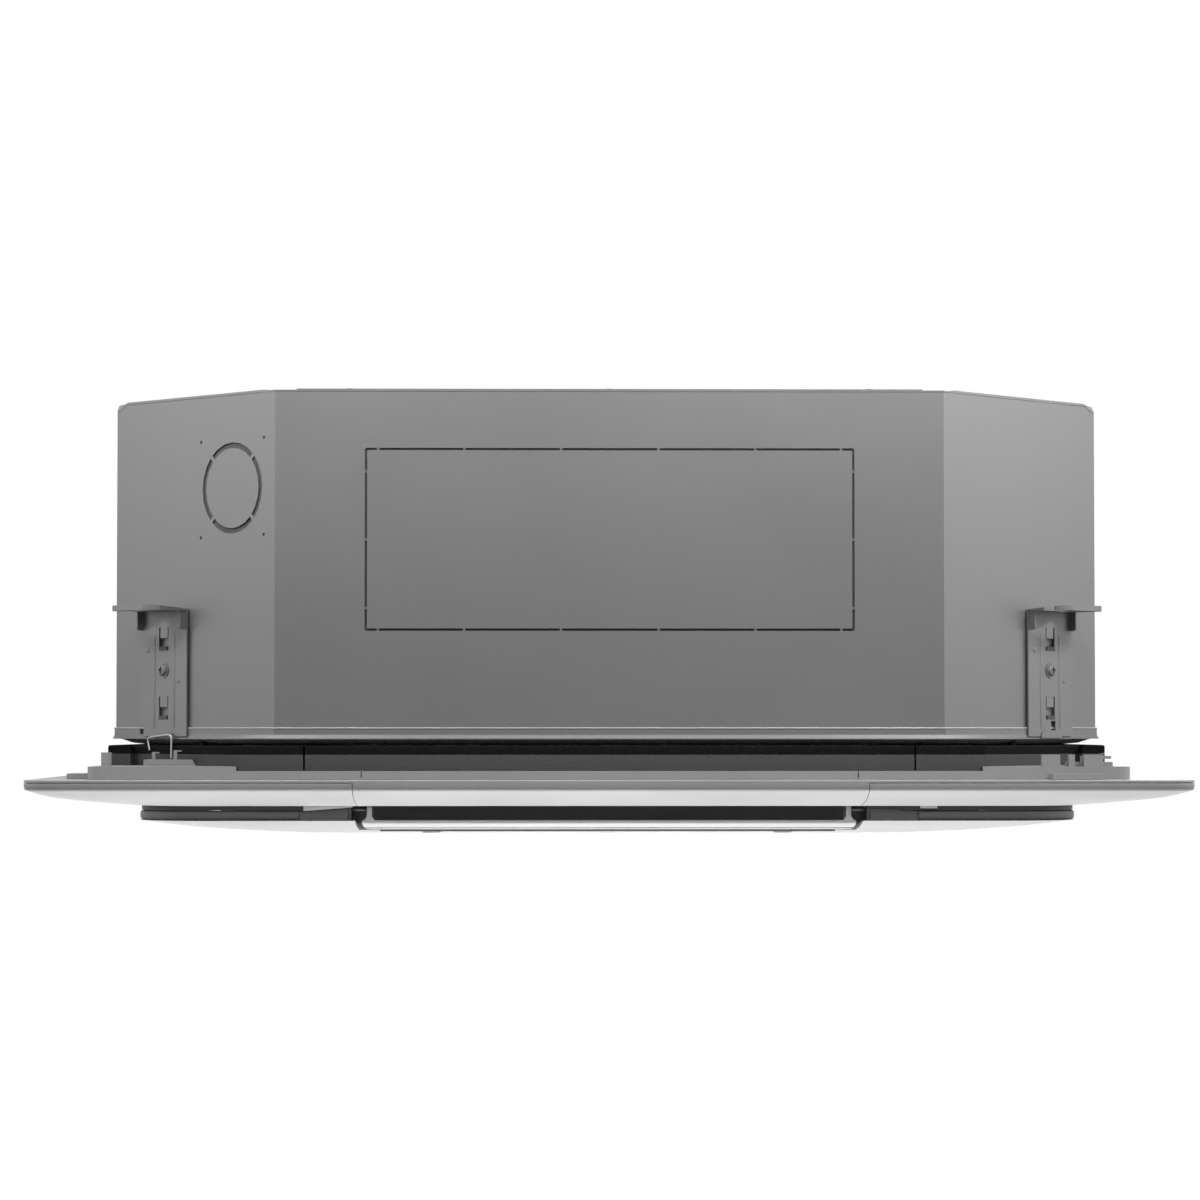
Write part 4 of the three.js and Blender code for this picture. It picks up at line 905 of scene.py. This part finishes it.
def flap():
    """The white moulding (vane with rounded lower corners, end arms, feet), and the pins with a dark lip under
    the vane's rear edge, a painted shadow of the gap to the cover.
    """
    outer = [
        (-393, -34.2), (-393, -36), (-391.6, -37.7), (-388.9, -39.9), (-385.2, -41.3), (-355, -42.4),
        (-322.3, -43.4),
    ]
    inner = [(-322.3, -40.8), (-355, -39.8), (-382, -38.9), (-386.4, -37.6), (-388.4, -34.2)]
    outer, inner = smooth_curve(outer, 6), smooth_curve(inner, 6)
    vane = bar_along_x([tuple(p) for p in (*outer, *inner)], [-FLAP_HALF, FLAP_HALF])
    # A dark strip under the vane's rear edge: painted shadow of the gap between flap and cover.
    painted_shadow_lip_section = [(-324.6, -43.2), (-322.4, -43.2), (-322.4, -44.9), (-323.4, -45.1)]
    painted_shadow_lip = bar_along_x(painted_shadow_lip_section, [12 - FLAP_HALF, FLAP_HALF - 12])
    corner = [(0, -35.8), (1.2, -39.2), (5.5, -42), (16, -43.8)]
    right = [tuple(p) for p in smooth_curve([(FLAP_HALF - inset, z) for inset, z in corner], 6)]
    front = [(-FLAP_HALF, -30), (FLAP_HALF, -30), *right, *((-x, z) for x, z in reversed(right))]
    clipped = carved(vane, upright(front, -420, -300), operation="INTERSECT")
    side_view = [(-391, -36), (-391, -22.8), (-368, -18.6), (-361, -18.6), (-358, -24), (-350, -42)]
    shapes, pins = [clipped], []
    for side in (-1, 1):
        middle = side * 198
        shapes.append(bar_along_x(side_view, [middle - 2, middle + 2]))
        foot = [(middle - 4.5, -34.6), (middle + 4.5, -34.6), (middle + 1.8, -30.4), (middle - 1.8, -30.4)]
        shapes.append(upright(foot, -391.5, -386.5))
        ends = sorted((side * 199, side * (GUIDE_FROM + 2.6)))
        pins.append(rod_along_x(2.5, ends, (0, *FLAP_AXIS), 20))
    return merge(*shapes), merge(painted_shadow_lip, *pins)


vane, pins_and_shadow_lip = flap()
for side, turn in SIDES.items():
    for part, shape, material in (("moulding", vane, WHITE), ("pins", pins_and_shadow_lip, DARK_PLASTIC)):
        piece(
            f"flap_{part}_{side}", turned(shape, turn), material, body=f"flap_body_{side}",
            replaces=[f"flap_{side}"], bevel=0.35,
        )


# --------------------------------------------------------------------------------------------------
# Intake grille and air filter
# --------------------------------------------------------------------------------------------------

SLAT_PITCH = 13
SLAT_TOP = -43


def slat(y, across):
    """One louvre, its lower edge on the cover's curve."""
    rings = []
    for i in range(13):
        x = across[0] + (across[1] - across[0]) * i / 12
        low = bowl_z(x, y)
        rings.append([
            (x, y - 1.0, low + 0.5), (x, y - 0.4, low), (x, y + 0.6, low), (x, y + 1.2, low + 0.6),
            (x, y + 3.6, SLAT_TOP), (x, y + 1.8, SLAT_TOP),
        ])
    return loft(rings)


def grille_plate():
    """Plate that follows the cover's curve, as a fine grid with a flat back."""
    steps = [-GRILLE_HALF + 2 * GRILLE_HALF * i / 44 for i in range(45)]
    under = [(x, y, bowl_z(x, y)) for y in steps for x in steps]
    over = [(x, y, z + 2.6) for x, y, z in under]
    count = len(steps)
    cells = [(r * count + i, r * count + i + 1, (r + 1) * count + i + 1, (r + 1) * count + i)
             for r in range(count - 1) for i in range(count - 1)]
    size = count * count
    faces = [*cells, *(tuple(size + i for i in reversed(cell)) for cell in cells)]
    rim = [*range(count), *(r * count + count - 1 for r in range(1, count))]
    rim += [(count - 1) * count + i for i in reversed(range(count - 1))]
    rim += [r * count for r in reversed(range(1, count - 1))]
    faces += [(a, b, size + b, size + a) for a, b in zip(rim, rim[1:] + rim[:1])]
    return [*under, *over], faces


def grille_moulding():
    corners = prism(rounded_square(GRILLE_HALF, 3, 6), -60, 0)
    cuts = [block(across, (-285, 285), (-70, 0)) for across in ((-286, -6), (6, 286))]
    cuts += [block((x - 8.5, x + 8.5), (-295.5, -278.5), (-60, -30)) for x in (-150, 150)]
    plate = carved(grille_plate(), *cuts)
    plate = carved(plate, corners, operation="INTERSECT")
    wall = square_ring(GRILLE_HALF, 3, GRILLE_HALF - 2.5, 1, -43.5, -33, 4)
    windows = [block((x - 13, x + 13), (-305, -295), (-41.9, -37.2)) for x in (-150, 150)]
    shapes = [plate, carved(wall, *windows)]
    for row in range(-21, 22):
        shapes += [slat(row * SLAT_PITCH, across) for across in ((-286.5, -5.5), (5.5, 286.5))]
    for x in (-190, -98, 98, 190):
        shapes.append(block((x - 1, x + 1), (-285, 285), (-45, -43.1)))
    for at in (-150, 0, 150):
        for side in (-1, 1):
            shapes.append(block((side * 284 - 1, side * 284 + 2), (at - 10, at + 10), (-44.6, -31.3)))
    for side in (-1, 1):
        ends = sorted((side * (GRILLE_HALF - 2), side * (GRILLE_HALF + 6)))
        shapes.append(rod_along_x(1.5, ends, (0, *GRILLE_HINGE), 20))
    return merge(*shapes)


piece(
    "intake_grille_moulding", grille_moulding(), WHITE, body="grille",
    replaces=["intake_grille"],
)
filter_frame = merge(
    square_ring(FILTER_HALF, 6, FILTER_HALF - 8, 2, -31, -25),
    *(block((x - 2, x + 2), (-280, 280), (-31, -26)) for x in (-92, 92)),
    block((-280, 280), (-2, 2), (-31, -26)),
)
net_span = (6 - FILTER_HALF, FILTER_HALF - 6)
net = block(net_span, net_span, (-28.4, -27.6))
piece("air_filter_frame", filter_frame, GREY_PLASTIC, replaces=["air_filter"], bevel=0.5)
piece("air_filter_net", net, FILTER, replaces=["air_filter"])


# --------------------------------------------------------------------------------------------------
# Temporary hooks
# --------------------------------------------------------------------------------------------------

hook_route = [
    (14, 16.6), (14, 24), (14, 33), (12.6, 35.4), (9.5, 36.2), (0, 35.6), (-12, 34.5), (-15.6, 33.6),
    (-16.8, 31.6), (-16.2, 28), (-14.6, 23.4),
]
HOOK_WIRE = 0.9
hook = tube(smooth_curve([(x, -6, z) for x, z in hook_route], 8), HOOK_WIRE, 14)
for corner in ("front_left", "rear_right"):
    piece(
        f"hook_wire_{corner}", moved(hook, chamfer_matrix(corner)), ZINC, body=f"hook_{corner}",
        replaces=[f"temporary_hook_{corner}"],
    )


# --------------------------------------------------------------------------------------------------
# Stage, light and camera
# --------------------------------------------------------------------------------------------------


FLOOR_HALF = 15000
FLOOR_Z = -5200
FLOOR_GLOW = 0.75  # seen by the camera only


def floor():
    """A wide pale plane far below, which stays pale to the camera whatever light reaches it."""
    h, z = FLOOR_HALF, FLOOR_Z
    obj = build("floor", ([(-h, -h, z), (h, -h, z), (h, h, z), (-h, h, z)], [(0, 1, 2, 3)]))
    finish = Finish("floor", grey(0.8), 0.9, specular=0.2)
    paths = finish.nodes.new("ShaderNodeLightPath")
    glow = finish.nodes.new("ShaderNodeMath")
    glow.operation = "MULTIPLY"
    glow.inputs[1].default_value = FLOOR_GLOW
    finish.links.new(paths.outputs["Is Camera Ray"], glow.inputs[0])
    finish.links.new(glow.outputs[0], finish.shader.inputs["Emission Strength"])
    finish.shader.inputs["Emission Color"].default_value = (1, 1, 1, 1)
    obj.data.materials.append(finish.material)


floor()


def studio(level):
    """White to the camera and in reflections, a plain even grey light to everything else."""
    world = bpy.data.worlds.new("studio")
    bpy.context.scene.world = world
    world.use_nodes = True
    nodes, links = world.node_tree.nodes, world.node_tree.links
    paths = nodes.new("ShaderNodeLightPath")
    seen = paths.outputs["Is Camera Ray"]
    for output in ("Is Glossy Ray", "Is Transmission Ray"):
        highest = nodes.new("ShaderNodeMath")
        highest.operation = "MAXIMUM"
        links.new(seen, highest.inputs[0])
        links.new(paths.outputs[output], highest.inputs[1])
        seen = highest.outputs[0]
    strength = nodes.new("ShaderNodeMapRange")
    strength.inputs["To Min"].default_value = level
    strength.inputs["To Max"].default_value = 1.0
    links.new(seen, strength.inputs["Value"])
    background = nodes["Background"]
    background.inputs["Color"].default_value = (1, 1, 1, 1)
    links.new(strength.outputs["Result"], background.inputs["Strength"])


def lamp(name, place, target, size, power, spread=180):
    data = bpy.data.lights.new(name, "AREA")
    data.spread = math.radians(spread)
    data.shape = "RECTANGLE"
    data.size, data.size_y = size
    data.energy = power
    obj = bpy.data.objects.new(name, data)
    bpy.context.scene.collection.objects.link(obj)
    obj.location = place
    obj.rotation_euler = (Vector(target) - Vector(place)).to_track_quat("-Z", "Y").to_euler()
    obj.visible_camera = False


studio(0.12)
lamp("light_below", (0, -0.2, -1.7), (0, 0, 0), (1.0, 1.0), 31)
lamp("light_front_top", (0, -0.8, 0.64), (0, -0.42, 0.36), (0.9, 0.16), 2.0, 120)
lamp("light_left_top", (-0.8, -0.74, 0.62), (-0.35, -0.35, 0.36), (0.3, 0.16), 1.7, 120)
lamp("light_right_top", (0.8, -0.74, 0.62), (0.35, -0.35, 0.36), (0.3, 0.16), 2.7, 120)
lamp("light_left", (-2.6, -0.4, 0.6), (-0.3, 0, 0.15), (1.2, 1.2), 8)
lamp("light_right", (2.6, -0.4, 0.6), (0.3, 0, 0.15), (1.2, 1.2), 9.5)
lamp("light_above", (0, 0.6, 2.6), (0, 0, 0.3), (2, 2), 6)
lamp("light_back", (0.6, 3.0, 0.9), (0, 0.3, 0.15), (1.6, 1.2), 28)

LENS = 111.7
CAMERA_PLACE = (-0.057, -3.47, 0.042)
CAMERA_UP = 1.97  # degrees above level
CAMERA_TURN = -0.918  # degrees about Z

camera_data = bpy.data.cameras.new("camera")
camera_data.lens = LENS
camera_data.sensor_width = 36
camera_data.clip_end = 100
camera = bpy.data.objects.new("camera", camera_data)
bpy.context.scene.collection.objects.link(camera)
camera.location = CAMERA_PLACE
camera.rotation_euler = (math.radians(90 + CAMERA_UP), 0, math.radians(CAMERA_TURN))
bpy.context.scene.camera = camera
bpy.context.scene.view_settings.view_transform = "Standard"
